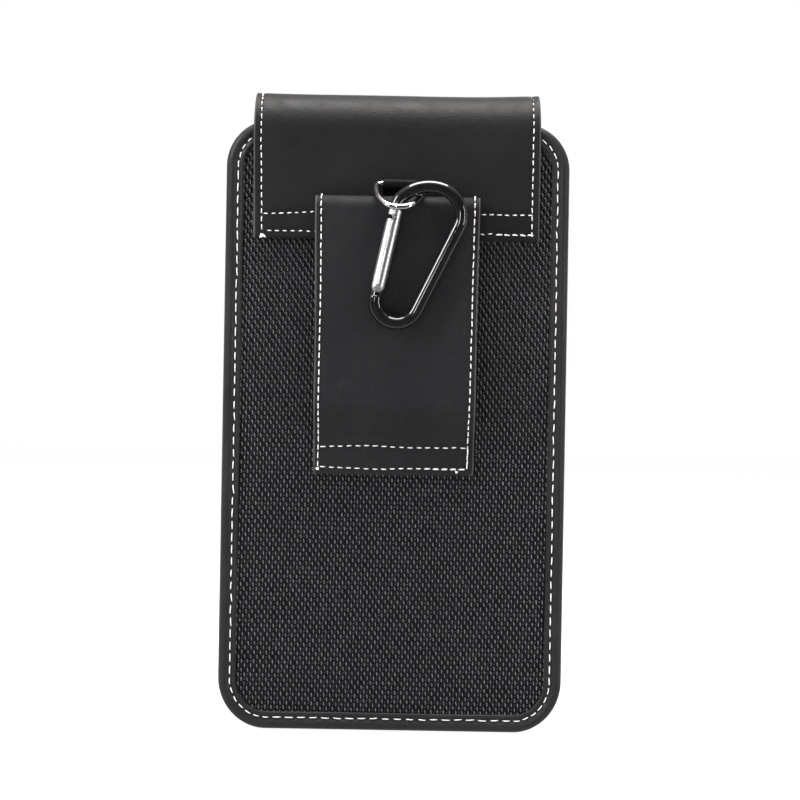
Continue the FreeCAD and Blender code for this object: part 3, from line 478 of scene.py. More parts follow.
def strap(line, left, right, thick, stations, seams=(), wave=None, margin=3.6, middle=26, lip=0.42):
    """A leather ply along a bent line: outer face, rounded cut edges and inner face. Returns points, faces and
    a material index, 1 on the cut edges."""
    # Columns across, close together within the margin at each side, where the seams are.
    near = np.array([lip, 0.62, 0.9, 1.25, 1.55, 1.8, 2.05, 2.3, 2.6, 3.0, margin])
    stations = np.asarray(stations, float)
    xl, xr = left(stations), right(stations)
    inner = np.linspace(0, 1, middle)[1:-1]
    columns = [xl + d for d in near] + [xl + margin + (xr - xl - 2 * margin) * f for f in inner]
    columns += [xr - d for d in near[::-1]]
    top = np.stack(columns, 1)
    s_top = np.broadcast_to(stations[:, None], top.shape)
    swell = wave(top, s_top) if wave else np.zeros(top.shape)
    outer_h = swell - (sunk(top, s_top, seams) if seams else 0)
    # The ply is thinner at its two ends, so that their cut edges are rounded too.
    shrink = np.zeros(len(stations))
    shrink[[0, -1]] = 0.45
    shrink[[1, -2]] = 0.12
    thinner = (shrink * min(thick, 1.0) * 0.8)[:, None]
    outer_h = outer_h - thinner
    inner_h = swell - thick + thinner
    rim_h = (swell[:, [0]], swell[:, [-1]])
    parts_x, parts_h = [top], [outer_h]
    # Round the right edge, back along the inner face and round the left edge.
    for edge, sign, base in ((xr, -1, rim_h[1]), (xl, 1, rim_h[0])):
        round_x = np.stack([edge + sign * lip * 0.3, edge, edge, edge + sign * lip * 0.3], 1)
        squeeze = (1 - shrink)[:, None]
        round_h = base + np.array([[-0.10, -0.3, -0.7, -0.92]]) * thick * squeeze \
            - (shrink * thick * 0.45)[:, None]
        if sign < 0:
            parts_x += [round_x, top[:, ::-1]]
            parts_h += [round_h, inner_h[:, ::-1]]
        else:
            parts_x.append(round_x[:, ::-1])
            parts_h.append(round_h[:, ::-1])
    across, height = np.concatenate(parts_x, 1), np.concatenate(parts_h, 1)
    points = line.at(across, stations[:, None], height)
    size = across.shape[1]
    faces = capped(len(stations), size)
    count = top.shape[1]
    edge_faces = {i % size for i in (*range(count - 1, count + 4), *range(2 * count + 3, size))}
    index = [int(i % size in edge_faces) for i in range(len(faces) - 2)] + [1, 1]
    return points.reshape(-1, 3), faces, index


def level(x):
    """A strap's side that stays at one place all along."""
    return lambda s: np.full(len(s), x)


def ply(name, shape, materials, slot, body=None, replaced=()):
    """A piece made by strap, with its second material on the cut edges."""
    points, faces, index = shape
    return piece(name, points, faces, materials, slot, body, index, replaced)


def merged(*meshes):
    """Several (points, faces) as one."""
    points, faces, start = [], [], 0
    for some, those in meshes:
        points.append(np.asarray(some, float))
        faces += [tuple(start + i for i in face) for face in those]
        start += len(some)
    return np.concatenate(points), faces


# ---- the pouch

border, panel, sides = box_mm("back_border"), box_mm("back_panel"), box_mm("side_gusset")
HALF, TOP, BOTTOM = border.right + 0.15, border.high, border.low
MIDDLE = (TOP + BOTTOM) / 2
TOP_ROUND, BOTTOM_ROUND, BOTTOM_ROUND_UP = 13, 13.4, 14.2
BORDER_FACE = border.near + 0.02
OUTLINE_STEP = 0.55
# The y of a place on the back and of its mirror image on the front, added up.
BACK_AND_FRONT = border.near + box_mm("front_border").far


def outline():
    """The pouch's outline, with its inward normals, counted along its length."""
    def corner(cx, cz, rx, rz, first):
        """A quarter of an ellipse, from an angle on."""
        angles = np.radians(np.linspace(first, first + 90, 60))
        return np.stack([cx + rx * np.cos(angles), cz + rz * np.sin(angles)], 1)

    rough = np.concatenate([
        corner(HALF - BOTTOM_ROUND, BOTTOM + BOTTOM_ROUND_UP, BOTTOM_ROUND, BOTTOM_ROUND_UP, 270),
        corner(HALF - TOP_ROUND, TOP - TOP_ROUND, TOP_ROUND, TOP_ROUND, 0),
        corner(TOP_ROUND - HALF, TOP - TOP_ROUND, TOP_ROUND, TOP_ROUND, 90),
        corner(BOTTOM_ROUND - HALF, BOTTOM + BOTTOM_ROUND_UP, BOTTOM_ROUND, BOTTOM_ROUND_UP, 180)])
    rough = np.concatenate([rough, rough[:1]])
    lengths = np.r_[0, np.cumsum(np.linalg.norm(np.diff(rough, axis=0), axis=1))]
    s = np.linspace(0, lengths[-1], int(lengths[-1] / OUTLINE_STEP), endpoint=False)
    points = np.stack([np.interp(s, lengths, rough[:, i]) for i in (0, 1)], 1)
    tangent = np.roll(points, -1, 0) - np.roll(points, 1, 0)
    tangent /= np.linalg.norm(tangent, axis=1, keepdims=True)
    return s, lengths[-1], points, np.stack([-tangent[:, 1], tangent[:, 0]], 1)


EDGE_S, EDGE_LENGTH, EDGE_POINTS, EDGE_NORMALS = outline()


def on_border(flip):
    """Places on the pouch's back or front: inset from the edge, length along it, and height over the band."""
    def place(inset, s, height):
        """Points at an inset, a length and a height."""
        inset, s, height = np.broadcast_arrays(np.asarray(inset, float), s, height)
        s = s % EDGE_LENGTH
        x, z, nx, nz = (np.interp(s, EDGE_S, values, period=EDGE_LENGTH) for values in
                        (EDGE_POINTS[:, 0], EDGE_POINTS[:, 1], EDGE_NORMALS[:, 0], EDGE_NORMALS[:, 1]))
        y = BORDER_FACE - height
        return np.stack([x + nx * inset, BACK_AND_FRONT - y if flip else y, z + nz * inset], -1)
    return place


SEAM_INSET = 3.3


def make_border(name, flip, node):
    """The folded leather border round a panel, drawn in along its seam, and that seam's thread."""
    place = on_border(flip)
    run = seam([(SEAM_INSET, 0), (SEAM_INSET, EDGE_LENGTH)], 3.35, 2.25, wander=0.12)
    # The border's section, as inset from its edge and height over the band.
    profile = np.array([(0.0, -2.97), (0.0, -2.0), (0.05, -1.5), (0.2, -1.02), (0.48, -0.6), (0.85, -0.28),
                        (1.25, -0.08), (1.65, 0.0), (2.05, -0.06), (2.4, -0.2), (2.7, -0.36), (3.0, -0.46),
                        (3.3, -0.5), (3.6, -0.45), (3.85, -0.32), (4.1, -0.17), (4.38, -0.1), (4.64, -0.14),
                        (4.84, -0.3), (4.93, -0.55), (4.9, -0.95), (3.0, -1.0), (1.3, -1.1), (1.2, -2.97)])
    inset, height = np.meshgrid(profile[:, 0], EDGE_S)[0], np.tile(profile[:, 1], (len(EDGE_S), 1))
    s = np.tile(EDGE_S[:, None], (1, len(profile)))
    face = (inset > 1.0) & (inset < 4.85) & (height > -0.52)
    height = height - np.where(face, sunk(inset, s, [run], 0.0, 0.32), 0)
    height = height + 0.05 * np.sin(s / 7.3 + inset) * face
    points = place(inset, s, height).reshape(-1, 3)
    piece(name, points, rings(len(EDGE_S), len(profile), True), [BORDER], "black_leather", "root",
          replaced=(node,))
    piece(name + "_stitches", *stitches([run], place, 0.15, 0.16, -0.34), [THREAD], "black_leather", "root")


make_border("back_edge", False, "back_border")
make_border("front_edge", True, "front_border")


def plate(name, inset, near, far, material, slot, replaced=()):
    """A flat sheet that fills the outline, from one depth to another."""
    flat = EDGE_POINTS[::4] + inset * EDGE_NORMALS[::4]
    points = np.concatenate([np.stack([flat[:, 0], np.full(len(flat), y), flat[:, 1]], 1) for y in (near, far)])
    piece(name, points, capped(2, len(flat)), [material], slot, "root", replaced=replaced, smooth=False)


WEAVE_INSET, WEAVE_ROUND = 4.0, 14
YARN_ACROSS, YARN_UP = 0.857, 1.257
WEAVE_LEAN = math.radians(0.8)
YARN_FOOT = panel.near + 0.35
GROUND = (panel.near + 0.2, panel.near + 0.95)


def inside(x, z, inset):
    """Whether a place lies within the outline by at least an inset."""
    radius = WEAVE_ROUND - inset
    dx = np.abs(x) - (HALF - inset - radius)
    dz = np.abs(z - MIDDLE) - ((TOP - BOTTOM) / 2 - inset - radius)
    far = np.hypot(np.maximum(dx, 0), np.maximum(dz, 0)) + np.minimum(np.maximum(dx, dz), 0)
    return far < radius


def floats(x, z, half_x, half_z, nx, nz, proud, rise):
    """Yarns where they lie on top: a small domed patch at each place, a little uneven, with nx by nz points
    and its crest proud of the panel. Upright ones are pinched at their ends and slant, and level ones may rise
    along their length."""
    upright, slanted = half_z > half_x, half_z > half_x * 2

    def uneven(middle, spread):
        """A random number for each yarn."""
        return rng.normal(middle, spread, len(x))[:, None, None]

    u, v = np.meshgrid(np.linspace(-1, 1, nx), np.linspace(-1, 1, nz))
    form = np.cos(u * math.pi / 2.4) * np.cos(v * math.pi / 2.3) ** 0.6
    form = (form - form.min()) / (form.max() - form.min())
    pinch = 1 - 0.3 * v ** 2 if upright else 1
    wide = half_x * (1 + uneven(0, 0.07))
    tall = half_z * (1 + uneven(0, 0.05))
    high = panel.near - proud + uneven(0, 0.03)
    slant = uneven(-0.055, 0.03) * slanted
    px = x[:, None, None] + uneven(0, 0.03) + wide * (u * pinch) + slant * v
    py = YARN_FOOT + (high - YARN_FOOT) * form
    pz = z[:, None, None] + tall * v + rise * u
    cell = np.array([(r * nx + c, r * nx + c + 1, (r + 1) * nx + c + 1, (r + 1) * nx + c)
                     for r in range(nz - 1) for c in range(nx - 1)])
    faces = (np.arange(len(x))[:, None, None] * nx * nz + cell[None]).reshape(-1, 4)
    return np.stack([px, py, pz], -1).reshape(-1, 3), faces


def make_weave(name, flip, node):
    """Nylon woven from thick yarns: upright floats in brick order over level ones, on a ground painted near-black
    as painted shade.
    """
    columns, rows = np.arange(-62, 63), np.arange(-78, 79)
    grid_x, grid_z = np.meshgrid(columns * YARN_ACROSS, rows * YARN_UP)
    odd = (columns[None] + rows[:, None]) % 2 == 1
    x = grid_x * math.cos(WEAVE_LEAN) + grid_z * math.sin(WEAVE_LEAN)
    z = -grid_x * math.sin(WEAVE_LEAN) + grid_z * math.cos(WEAVE_LEAN) + MIDDLE
    keep = inside(x, z, WEAVE_INSET)
    # Warp floats and cross strokes are painted lighter as painted sheen, and weft squares less so: lit and shaded
    # copies of one black yarn.
    for kind, here, off_x, off_z, size, material in (
            ("warp", keep & ~odd, 0, 0, (0.16, 0.58, 4, 5, 0.25, 0), WARP_PAINTED_SHEEN),
            ("weft", keep & odd, 0, 0, (0.44, 0.50, 3, 3, -0.12, 0), WEFT),
            ("cross", keep & ~odd, -0.36, 0.47, (0.33, 0.17, 4, 3, 0.12, 0.2), CROSS_PAINTED_HIGHLIGHT)):
        points, faces = floats(x[here] + off_x, z[here] + off_z, *size)
        if flip:
            points[:, 1] = BACK_AND_FRONT - points[:, 1]
            faces = faces[:, ::-1]
        piece(f"{name}_{kind}", points, faces.tolist(), [material], "woven_nylon", "root", shell=False)
    near, far = (BACK_AND_FRONT - y for y in GROUND) if flip else GROUND
    # The ground plate is painted near-black: painted shade between the yarns.
    plate(f"{name}_ground", 1.25, near, far, DEEP_PAINTED_SHADE, "woven_nylon", (node,))


make_weave("back_nylon", False, "back_panel")
make_weave("front_nylon", True, "front_panel")

# The places on the outline below the sides' open mouth, in order from its one end to the other.
below = np.flatnonzero(EDGE_POINTS[:, 1] < sides.high)
below = np.roll(below, -1 - np.argmax(np.diff(below)))


def side_strip(name, inset, thick, material, slot, replaced, bow, margin=0.0):
    """A strip round the pouch's sides and bottom, bowed outward on both sides of a crease in its middle."""
    near, far = sides.near + margin, sides.far - margin
    y = np.linspace(near, far, 13)
    t = (y - near) / (far - near)
    lift = bow * (np.sin(math.pi * t) - 0.55 * np.exp(-((t - 0.5) / 0.07) ** 2))
    profile = np.concatenate([np.stack([inset - lift, y], 1), np.stack([inset - lift + thick, y], 1)[::-1]])
    x, z = EDGE_POINTS[below].T
    nx, nz = EDGE_NORMALS[below].T
    points = np.stack([x[:, None] + nx[:, None] * profile[None, :, 0],
                       np.broadcast_to(profile[None, :, 1], (len(below), len(profile))),
                       z[:, None] + nz[:, None] * profile[None, :, 0]], -1)
    piece(name, points.reshape(-1, 3), capped(len(below), len(profile)), [material], slot, "root",
          replaced=replaced)


side_strip("side_strip", 0.3, 1.0, BORDER, "black_leather", ("side_gusset",), 0.3)
side_strip("side_lining", 1.25, 0.45, LINING, "soft_lining", (), 0.25, 0.3)
plate("lining_back", 1.5, sides.near + 0.02, sides.near + 0.57, LINING, "soft_lining", ("pocket_lining",))
plate("lining_front", 1.5, sides.far - 0.57, sides.far - 0.02, LINING, "soft_lining")

# ---- the flap

# Lengths along the flap start at its sewn lower edge on the back, and end at its free edge in front.
tail, cover, inner = box_mm("flap_tail_leather"), box_mm("flap_cover"), box_mm("flap_lining")
FLAP_LEFT, FLAP_RIGHT = cover.left + 0.1, cover.right
FREE_ROUND = 12.0
LINING_INSET = 0.35
flap_line = Bent([(tail.near, tail.low), (tail.near, cover.high, 10.5), (cover.far, cover.high, 7.6),
                  (cover.far, cover.low)], 1)
FLAP_LENGTH = flap_line.length


def free_edge(s, length):
    """How far the rounded corners draw the flap's side in at a length along it."""
    past = np.clip(s - (length - FREE_ROUND), 0, FREE_ROUND - 1e-3)
    return FREE_ROUND - np.sqrt(FREE_ROUND ** 2 - past ** 2)


def drawn_in(s):
    """How much narrower the flap is on each side where it goes over the arch."""
    return 0.3 * np.exp(-((s - 45) / 9.5) ** 2)


def flap_left(s):
    """The flap's left side."""
    return FLAP_LEFT + free_edge(s, FLAP_LENGTH) + 0.5 * np.clip(1 - s / 27, 0, 1) + drawn_in(s)


def flap_right(s):
    """The flap's right side."""
    return FLAP_RIGHT - free_edge(s, FLAP_LENGTH) - drawn_in(s)


def free_path(inset):
    """The seam down one side, round the free edge and up the other, as (x, length)."""
    radius, low = FREE_ROUND - inset, FLAP_LENGTH - FREE_ROUND
    right = [(FLAP_RIGHT - FREE_ROUND + radius * math.cos(a), low + radius * math.sin(a))
             for a in np.linspace(0, math.pi / 2, 20)]
    left = [(FLAP_LEFT + FREE_ROUND - radius * math.cos(a), low + radius * math.sin(a))
            for a in np.linspace(math.pi / 2, 0, 20)]
    return [(FLAP_RIGHT - inset, 1.0)] + right + left + [(FLAP_LEFT + inset, 29.0), (FLAP_LEFT + inset + 0.6, 1.9)]


flap_seams = [
    seam(free_path(2.1), 2.2, 1.4),
    seam([(-37.6, 6.7), (-33, 6.8), (-23, 7.4), (0, 7.4), (38.0, 7.4)], 2.15, 1.25),
    seam([(-36.6, 2.0), (37.9, 2.0)], 2.15, 1.15),
]
flap_doubled = [seam([(27.2, 1.82), (38.2, 1.9)], 2.2, 1.7, wander=0.12)]


def knot(x, s, size):
    """A few crossed thread ends, each a seam of one short stitch."""
    ends = []
    for turn in np.radians((20, 75, 130, 165)):
        aside = size * np.array([math.cos(turn), math.sin(turn)])
        middle = np.array([x, s]) + rng.normal(0, size * 0.25, 2)
        ends.append(seam([middle - aside, middle + aside], 1.5 * size, 1.7 * size))
    return ends


def flap_wave(x, s):
    """The leather's slow unevenness, none where it is sewn down, and the arch's, which rises to the right."""
    free = np.clip((s - 12) / 14, 0, 1) * np.clip((FLAP_LENGTH + 6 - s) / 20, 0.4, 1)
    arch = np.exp(-((s - 46) / 11) ** 2)
    return (free * (0.10 * np.sin(x / 9.5 + s / 21) + 0.08 * np.sin(x / 17.0 - s / 9.0 + 1.3))
            + arch * (0.006 * x + 0.0004 * x ** 2 - 0.07))


def free_stations(first, step, length, count):
    """Stations along a ply that ends in the flap's round corners, closer together there."""
    turn = 1 - np.sin(np.linspace(0, math.pi / 2, count))
    return np.r_[first, np.arange(2 * first[-1], length - FREE_ROUND, step), length - FREE_ROUND * turn[:-1],
                 length - 0.02]


stations = free_stations((0, 0.15, 0.4), 0.55, FLAP_LENGTH, 30)
flap = ply("flap", strap(flap_line, flap_left, flap_right, 1.0, stations, flap_seams, flap_wave, middle=22),
           [FLAP, CUT_EDGE], "black_leather", replaced=("flap_tail_leather", "flap_cover"))
flap_thread = piece("flap_stitches", *merged(
    stitches(flap_seams + flap_doubled, flap_line.at, 0.145),
    stitches(knot(-37.6, 0.4, 0.8), flap_line.at, 0.2, 0.5, 0.15)), [THREAD], "black_leather")

inner_line = Bent([(inner.near + 0.44, TOP + 0.25), (inner.near + 2.53, inner.high, 9.5),
                   (inner.far, inner.high, 6.6), (inner.far, inner.low)], 1)
INNER_LENGTH = inner_line.length
flap_inner = ply("flap_inside", strap(
    inner_line, lambda s: FLAP_LEFT + LINING_INSET + free_edge(s, INNER_LENGTH),
    lambda s: FLAP_RIGHT - LINING_INSET - free_edge(s, INNER_LENGTH), 0.75,
    free_stations((0, 0.2, 0.5), 1.2, INNER_LENGTH, 20), middle=16),
    [LINING, CUT_EDGE], "soft_lining", replaced=("flap_lining",))

# The flap's pieces keep their places, written into their points.
for obj in (flap, flap_thread, flap_inner):
    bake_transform(obj)

# The backing under the flap's tail, cut away at its upper right, where the border turns in.
BACKING_INSET = 0.25
backing = box_mm("flap_tail_backing")
backing_line = Bent([(backing.near + 0.02, backing.low + 0.2), (backing.near + 0.02, backing.high - 0.1)], 1)
ply("flap_backing", strap(
    backing_line, level(FLAP_LEFT + BACKING_INSET),
    lambda s: FLAP_RIGHT - BACKING_INSET - np.clip(s - 23, 0, 9) * 0.55, 0.72,
    np.linspace(0, backing_line.length, 24), middle=8),
    [LINING, CUT_EDGE], "soft_lining", "root", replaced=("flap_tail_backing",))

# ---- the belt loop

# Lengths along the loop start at its rear ply's lower edge, and end at its lower edge on the panel.
loop = box_mm("belt_loop")
LOOP_X = round((loop.left + loop.right) / 2, 3)
LOOP_ROUND = 1.6
LOOP_PLY = 0.9
FOOT_HALF, WIDENS = 22.15, 0.5
ROOT, TURN_IN, LANDING = 29.2, -18.5, -27
LANDED = panel.near - 1.4
loop_line = Bent([(tail.near, ROOT), (tail.near, loop.high, 3.5), (loop.near, loop.high, 3.5),
                  (loop.near, TURN_IN, 3), (LANDED, LANDING, 3), (LANDED, loop.low)], -1)
LOOP_LENGTH = loop_line.length


def loop_half(s):
    """Half the loop's width, which grows a little from its lower edge up to its fold."""
    z = np.interp(s, loop_line.s, loop_line.points[:, 1])
    return FOOT_HALF + WIDENS * (z - loop.low) / (loop.high - loop.low)


def down_to(z):
    """Length along the loop's front where it reaches a height."""
    front = loop_line.s > 16
    return float(np.interp(-z, -loop_line.points[front, 1], loop_line.s[front]))


def loop_left(s):
    """The loop's left side, a little uneven."""
    return LOOP_X - loop_half(s) - 0.12 * np.sin(s / 11.0)


def loop_right(s):
    """The loop's right side, with its rounded lower corner."""
    past = np.clip(s - (LOOP_LENGTH - LOOP_ROUND), 0, LOOP_ROUND)
    rounded = (LOOP_ROUND - np.sqrt(LOOP_ROUND ** 2 - past ** 2)) * 0.8
    return LOOP_X + loop_half(s) + 0.1 * np.sin(s / 13.0 + 1) - rounded


top_s, upper_s, lower_s = down_to(39.9), down_to(-29.0), down_to(-35.2)
loop_seams = [
    seam([(-21.0, top_s - 9), (-20.75, top_s + 26), (-20.95, lower_s)], 2.33, 1.72),
    seam([(21.4, top_s - 9), (20.5, lower_s)], 2.33, 1.72),
    seam([(-20.8, upper_s + 0.3), (-8, upper_s - 0.2), (4, upper_s + 0.2), (20.5, upper_s)], 2.3, 1.45),
    seam([(-20.8, lower_s - 0.4), (-6, lower_s + 0.1), (8, lower_s - 0.3), (20.4, lower_s - 0.3)], 2.3, 1.45),
]
loop_doubled = [
    seam([(8.3, lower_s - 0.12), (17.2, lower_s - 0.1), (20.2, lower_s - 0.25)], 2.3, 1.75, wander=0.12),
    seam([(20.7, lower_s - 6.5), (20.65, lower_s - 0.4)], 2.1, 1.6, wander=0.12),
]


def loop_wave(x, s):
    """The loop's slow unevenness between its fold and the seams at its lower end."""
    free = np.clip((s - 12) / 8, 0, 1) * np.clip((upper_s - s) / 12, 0, 1)
    return free * (0.12 * np.sin(x / 8.0 + s / 15.0) + 0.08 * np.sin(x / 5.0 - s / 19.0))


stations = np.r_[0, 0.15, 0.4, np.arange(0.8, LOOP_LENGTH - 0.8, 0.55), LOOP_LENGTH - 0.5, LOOP_LENGTH - 0.15,
                 LOOP_LENGTH]
ply("loop", strap(loop_line, loop_left, loop_right, LOOP_PLY, stations, loop_seams, loop_wave, middle=20),
    [LOOP, CUT_EDGE], "black_leather", "root", ("belt_loop",))
piece("loop_stitches", *merged(
    stitches(loop_seams + loop_doubled, loop_line.at, 0.155),
    stitches(knot(-20.9, lower_s + 0.2, 0.5) + knot(17.6, lower_s + 0.5, 0.45), loop_line.at, 0.17, 0.4)),
    [THREAD], "black_leather", "root")
under_line = Bent([(tail.near - LOOP_PLY, ROOT + 0.2), (tail.near - LOOP_PLY, loop.high - LOOP_PLY, 2.6),
                   (loop.near + LOOP_PLY, loop.high - LOOP_PLY, 2.6), (loop.near + LOOP_PLY, TURN_IN - 0.4, 3.4),
                   (LANDED + LOOP_PLY, LANDING - 0.4, 2.6), (LANDED + LOOP_PLY, loop.low + 0.2)], -1)
ply("loop_inside", strap(
    under_line, level(LOOP_X - 22.2), level(LOOP_X + 22.0), 0.47, np.linspace(0, under_line.length, 140),
    middle=10, lip=0.2),
    [LINING, CUT_EDGE], "soft_lining", "root", ("belt_loop_lining",))

# The tab that holds the ring: wrapped round its bar, with both ends sewn into the loop's seam.
RING_X, BAR_Y, BAR_Z = joint_mm("ring_tilt")
HALF_TAB, TAB_OUT = 4.7, 1.35
TAB_END = box_mm("ring_tab").low
tab_line = Bent([(BAR_Y + TAB_OUT, TAB_END), (BAR_Y + TAB_OUT, BAR_Z + TAB_OUT, 1.34),
                 (BAR_Y - TAB_OUT, BAR_Z + TAB_OUT, 1.34), (BAR_Y - TAB_OUT, BAR_Z - 1.1, 0.9),
                 (BAR_Y + 0.35, BAR_Z - 2.4, 1.5), (BAR_Y + 0.35, TAB_END)], -1)
# Its leather is painted near-black, as painted shade under the ring.
ply("tab", strap(
    tab_line, level(RING_X - HALF_TAB), level(RING_X + HALF_TAB), 0.48, np.linspace(0, tab_line.length, 90),
    middle=6, margin=3.2, lip=0.18),
    [TAB_PAINTED_SHADE, TAB_PAINTED_SHADE], "black_leather", "root", ("ring_tab",))

# ---- the ring and the carabiner

# The ring's flat path, with its bar on the first axis, hung at its slope.
ring_half, ring_length, ring_tip, ring_shoulder, ring_corner = 6.5, 13.7, 4.6, 2.4, 1.5
tip_y = ring_length - ring_tip
side_run = tip_y - ring_shoulder
side_bend = (ring_half ** 2 + side_run ** 2 - ring_tip ** 2) / (2 * (ring_half - ring_tip))
side_x = side_bend - ring_half
corner_x = math.sqrt((side_bend - ring_corner) ** 2 - (ring_shoulder - ring_corner) ** 2) - side_x
into_corner = math.degrees(math.atan2(ring_corner - ring_shoulder, corner_x + side_x))
into_tip = math.degrees(math.atan2(tip_y - ring_shoulder, side_x))
flat = arcs([
    ("run", (-corner_x, 0), (corner_x, 0)),
    ("bend", (corner_x, ring_corner), ring_corner, -90, into_corner),
    ("bend", (-side_x, ring_shoulder), side_bend, into_corner, into_tip),
    ("bend", (0, tip_y), ring_tip, into_tip, 180 - into_tip),
    ("bend", (side_x, ring_shoulder), side_bend, 180 - into_tip, 180 - into_corner),
    ("bend", (-corner_x, ring_corner), ring_corner, 180 - into_corner, 270),
], 0.3)[:-1]
SLOPE, RING_WIRE_R = math.radians(31.5), 0.8
path = np.stack([flat[:, 0] + RING_X, BAR_Y - flat[:, 1] * math.cos(SLOPE),
                 BAR_Z - flat[:, 1] * math.sin(SLOPE)], 1)
piece("ring", *tube(path, RING_WIRE_R, 24, True, (0, -math.sin(SLOPE), math.cos(SLOPE))), [CHROME],
      "bright_plating", "ring", replaced=("d_ring",))

# The carabiner, as (x, z) in its own plane: the gate's line, and the middles and radii of the wire's bends.
WIRE_R, LEAN = 1.85, 12.1
hinge_x, WIRE_Y, hinge_z = joint_mm("gate_hinge")
head_x, _, head_z = joint_mm("carabiner_swing")
HINGE = np.array([hinge_x, hinge_z])
up_gate = np.array([math.sin(math.radians(LEAN)), math.cos(math.radians(LEAN))])
off_gate = np.array([math.cos(math.radians(LEAN)), -math.sin(math.radians(LEAN))])
head, shoulder, foot = np.array([head_x, head_z]), np.array([9.81, 34.7]), np.array([0.22, 10.9])
HEAD_R, SHOULDER_R, FOOT_R, NOSE_R, HEAD_TURN = 11.1, 7.7, 5.9, 4.0, 71.8
from_head = HINGE + off_gate * NOSE_R - head
along = from_head @ up_gate
nose_foot = math.sqrt((HEAD_R - NOSE_R) ** 2 - from_head @ from_head + along ** 2) - along
nose = HINGE + up_gate * nose_foot + off_gate * NOSE_R
nose_turn = math.degrees(math.atan2(*(nose - head)[::-1]))
side_way = foot - shoulder
side_turn = math.degrees(math.atan2(*side_way[::-1])) + 90 - math.degrees(
    math.asin((SHOULDER_R - FOOT_R) / np.linalg.norm(side_way)))


def spot(centre, radius, degrees):
    """A place on a circle."""
    return centre + radius * np.array([math.cos(math.radians(degrees)), math.sin(math.radians(degrees))])


flat = arcs([
    ("run", HINGE + up_gate * 21.8, HINGE + up_gate * nose_foot),
    ("bend", nose, NOSE_R, 180 - LEAN, nose_turn),
    ("bend", head, HEAD_R, nose_turn, HEAD_TURN),
    ("bend", shoulder, SHOULDER_R, HEAD_TURN, side_turn),
    ("run", spot(shoulder, SHOULDER_R, side_turn), spot(foot, FOOT_R, side_turn)),
    ("bend", foot, FOOT_R, side_turn, -180 - LEAN),
    ("run", spot(foot, FOOT_R, 180 - LEAN), HINGE - up_gate * 2.4),
], 0.3)
lengths = np.r_[0, np.cumsum(np.linalg.norm(np.diff(flat, axis=0), axis=1))]
ends = np.minimum(lengths, lengths[-1] - lengths)
thick = WIRE_R * (1 - 0.16 * np.exp(-(ends / 0.22) ** 2))
path = np.stack([flat[:, 0], np.full(len(flat), WIRE_Y), flat[:, 1]], 1)
wire = tube(path, thick, 28, False, (0, 1, 0))
HALF_TONGUE, TONGUE_DEEP, TONGUE_STEPS = 1.4, 0.8, 24


def tongue(low, high, end):
    """A flattened end of the wire, from one place up the gate's line to another, rounded at its end."""
    side = np.linspace(low, high, TONGUE_STEPS)
    reach = np.clip(HALF_TONGUE - np.abs(side - end), 0, HALF_TONGUE)
    width = np.sqrt(np.maximum(HALF_TONGUE ** 2 - reach ** 2, 0.04))
    ring = [(-1, -0.8), (-0.8, -1), (0.8, -1), (1, -0.8), (1, 0.8), (0.8, 1), (-0.8, 1), (-1, 0.8)]
    points = []
    for up, wide in zip(side, width):
        base = HINGE + up_gate * up
        for a, b in ring:
            x, z = base + off_gate * a * wide
            points.append((x, WIRE_Y + b * TONGUE_DEEP, z))
    return np.array(points), capped(TONGUE_STEPS, len(ring))


piece("carabiner", *merged(wire, tongue(-3.2, 1.4, 1.4), tongue(18.6, 22.3, 18.6)), [BLACK], "black_anodised",
      "carabiner", replaced=("carabiner_body",))

# ---- nodes that stay as they are

for node, material in (("back_board", BOARD), ("front_board", BOARD), ("closure_plate", MAGNET),
                       ("flap_magnet", MAGNET), ("gate_hinge_pin", PIN), ("nose_catch_pin", PIN),
                       ("carabiner_gate", SILVER), ("gate_plunger", PIN), ("gate_spring", PIN)):
    obj = frame["nodes"][node]
    obj.data.materials.clear()
    obj.data.materials.append(material)

# ---- floor, light and camera


def floor_material():
    """White to the camera, with a part that takes the shadow; a sweep from dark to white in reflections, and
    plain pale diffuse for all other light."""
    material, nodes, links, output = new_material("floor_white")
    path, place = nodes.new("ShaderNodeLightPath"), nodes.new("ShaderNodeTexCoord")
    plain, shaded = nodes.new("ShaderNodeBsdfDiffuse"), nodes.new("ShaderNodeBsdfDiffuse")
    plain.inputs["Color"].default_value = (0.8, 0.8, 0.8, 1)
    shaded.inputs["Color"].default_value = (0.2, 0.2, 0.2, 1)
    glow, mirrored = nodes.new("ShaderNodeEmission"), nodes.new("ShaderNodeEmission")
    glow.inputs["Strength"].default_value = 0.95
    sweep = graded(nodes, links, place.outputs["Object"], "Y", -0.12, 0.12, 0.12, 1.6)
    links.new(sweep, mirrored.inputs["Strength"])
    both = nodes.new("ShaderNodeAddShader")
    links.new(shaded.outputs[0], both.inputs[0])
    links.new(glow.outputs[0], both.inputs[1])
    unseen = chosen(nodes, links, path.outputs["Is Glossy Ray"], plain.outputs[0], mirrored.outputs[0])
    floor = chosen(nodes, links, path.outputs["Is Camera Ray"], unseen, both.outputs[0])
    links.new(floor, output.inputs["Surface"])
    return material


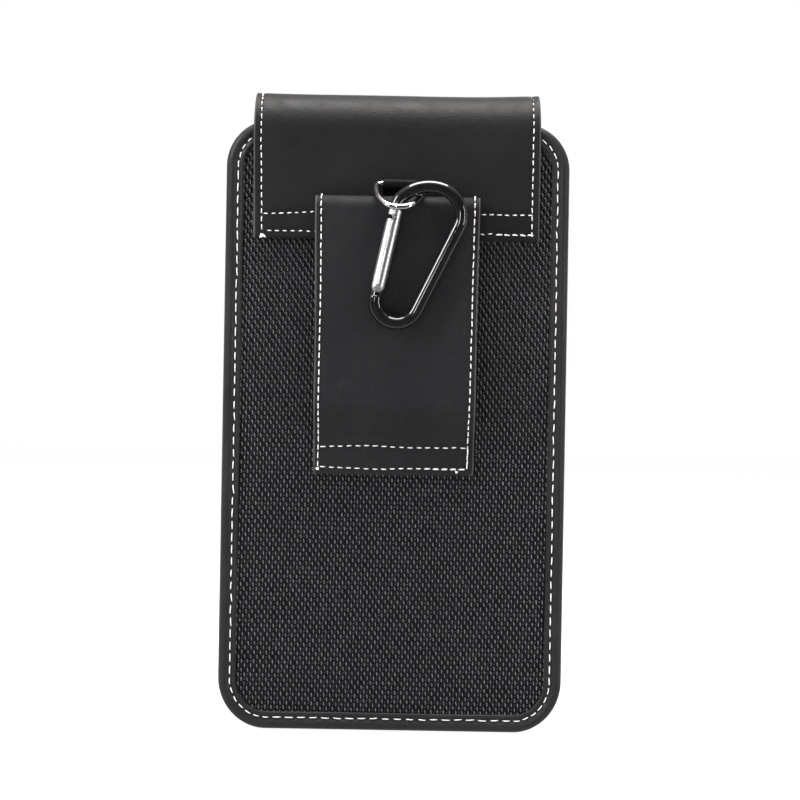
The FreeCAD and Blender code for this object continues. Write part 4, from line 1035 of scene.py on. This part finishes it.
def studio_world():
    """White to the camera; in reflections a studio that is dark on the camera's side and white above and beyond
    the pouch; a low even light for the rest."""
    world = bpy.data.worlds.new("studio")
    world.use_nodes = True
    nodes, links = world.node_tree.nodes, world.node_tree.links
    nodes.clear()
    output = nodes.new("ShaderNodeOutputWorld")
    rays, way = nodes.new("ShaderNodeLightPath"), nodes.new("ShaderNodeTexCoord")
    lit, seen, studio = (nodes.new("ShaderNodeBackground") for _ in range(3))
    lit.inputs["Color"].default_value = (0.97, 0.985, 1, 1)
    lit.inputs["Strength"].default_value = 0.19
    seen.inputs["Color"].default_value = (1, 1, 1, 1)
    beyond = graded(nodes, links, way.outputs["Generated"], "Y", -0.28, 0.2, 0.04, 1.0)
    above = graded(nodes, links, way.outputs["Generated"], "Z", 0.55, 0.85, 0.0, 1.0)
    links.new(larger(nodes, links, beyond, above), studio.inputs["Strength"])
    visible = larger(nodes, links, rays.outputs["Is Camera Ray"], rays.outputs["Is Transmission Ray"])
    unseen = chosen(nodes, links, rays.outputs["Is Glossy Ray"], lit.outputs[0], studio.outputs[0])
    links.new(chosen(nodes, links, visible, unseen, seen.outputs[0]), output.inputs["Surface"])
    return world


FLOOR_HALF, FLOOR_GAP = 4, 0.0005
ground = BOTTOM * MM - FLOOR_GAP
mesh = bpy.data.meshes.new("floor")
mesh.from_pydata([(x * FLOOR_HALF, y * FLOOR_HALF, ground) for x, y in ((-1, -1), (1, -1), (1, 1), (-1, 1))], [],
                 [(0, 1, 2, 3)])
mesh.materials.append(floor_material())
floor = bpy.data.objects.new("floor", mesh)
bpy.context.scene.collection.objects.link(floor)
bpy.context.scene.world = studio_world()


def lamp(name, place, aim, size, power, colour=(1, 1, 1)):
    """A soft light of the given width and height."""
    data = bpy.data.lights.new(name, "AREA")
    data.shape = "RECTANGLE"
    data.size, data.size_y = size
    data.energy = power
    data.color = colour
    obj = bpy.data.objects.new(name, data)
    bpy.context.scene.collection.objects.link(obj)
    obj.location = place
    obj.rotation_euler = (Vector(aim) - Vector(place)).to_track_quat("-Z", "Y").to_euler()


lamp("key", (-0.85, -0.42, 0.50), (0, 0, 0), (0.34, 0.5), 11)
lamp("side", (0.56, -0.31, 0.08), (0, 0, 0.03), (0.05, 0.34), 1.3)
lamp("near", (-0.26, -0.86, 0.13), (0, 0, 0), (0.09, 0.15), 1.05)
lamp("top", (0.0, -0.05, 0.92), (0, 0, 0.03), (0.8, 0.55), 26, (1, 0.97, 0.93))
lamp("front", (0.4, 0.95, 0.4), (0, 0, 0), (0.6, 0.6), 7)

camera = bpy.data.cameras.new("camera")
camera.sensor_width = 36
camera.lens = 121.5
camera.clip_start = 0.01
eye = bpy.data.objects.new("camera", camera)
bpy.context.scene.collection.objects.link(eye)
eye.location = (0.0016, -0.747, -0.016)
eye.rotation_euler = (math.radians(90), math.radians(-1.0), 0)
bpy.context.scene.camera = eye
bpy.context.scene.view_settings.view_transform = "Standard"
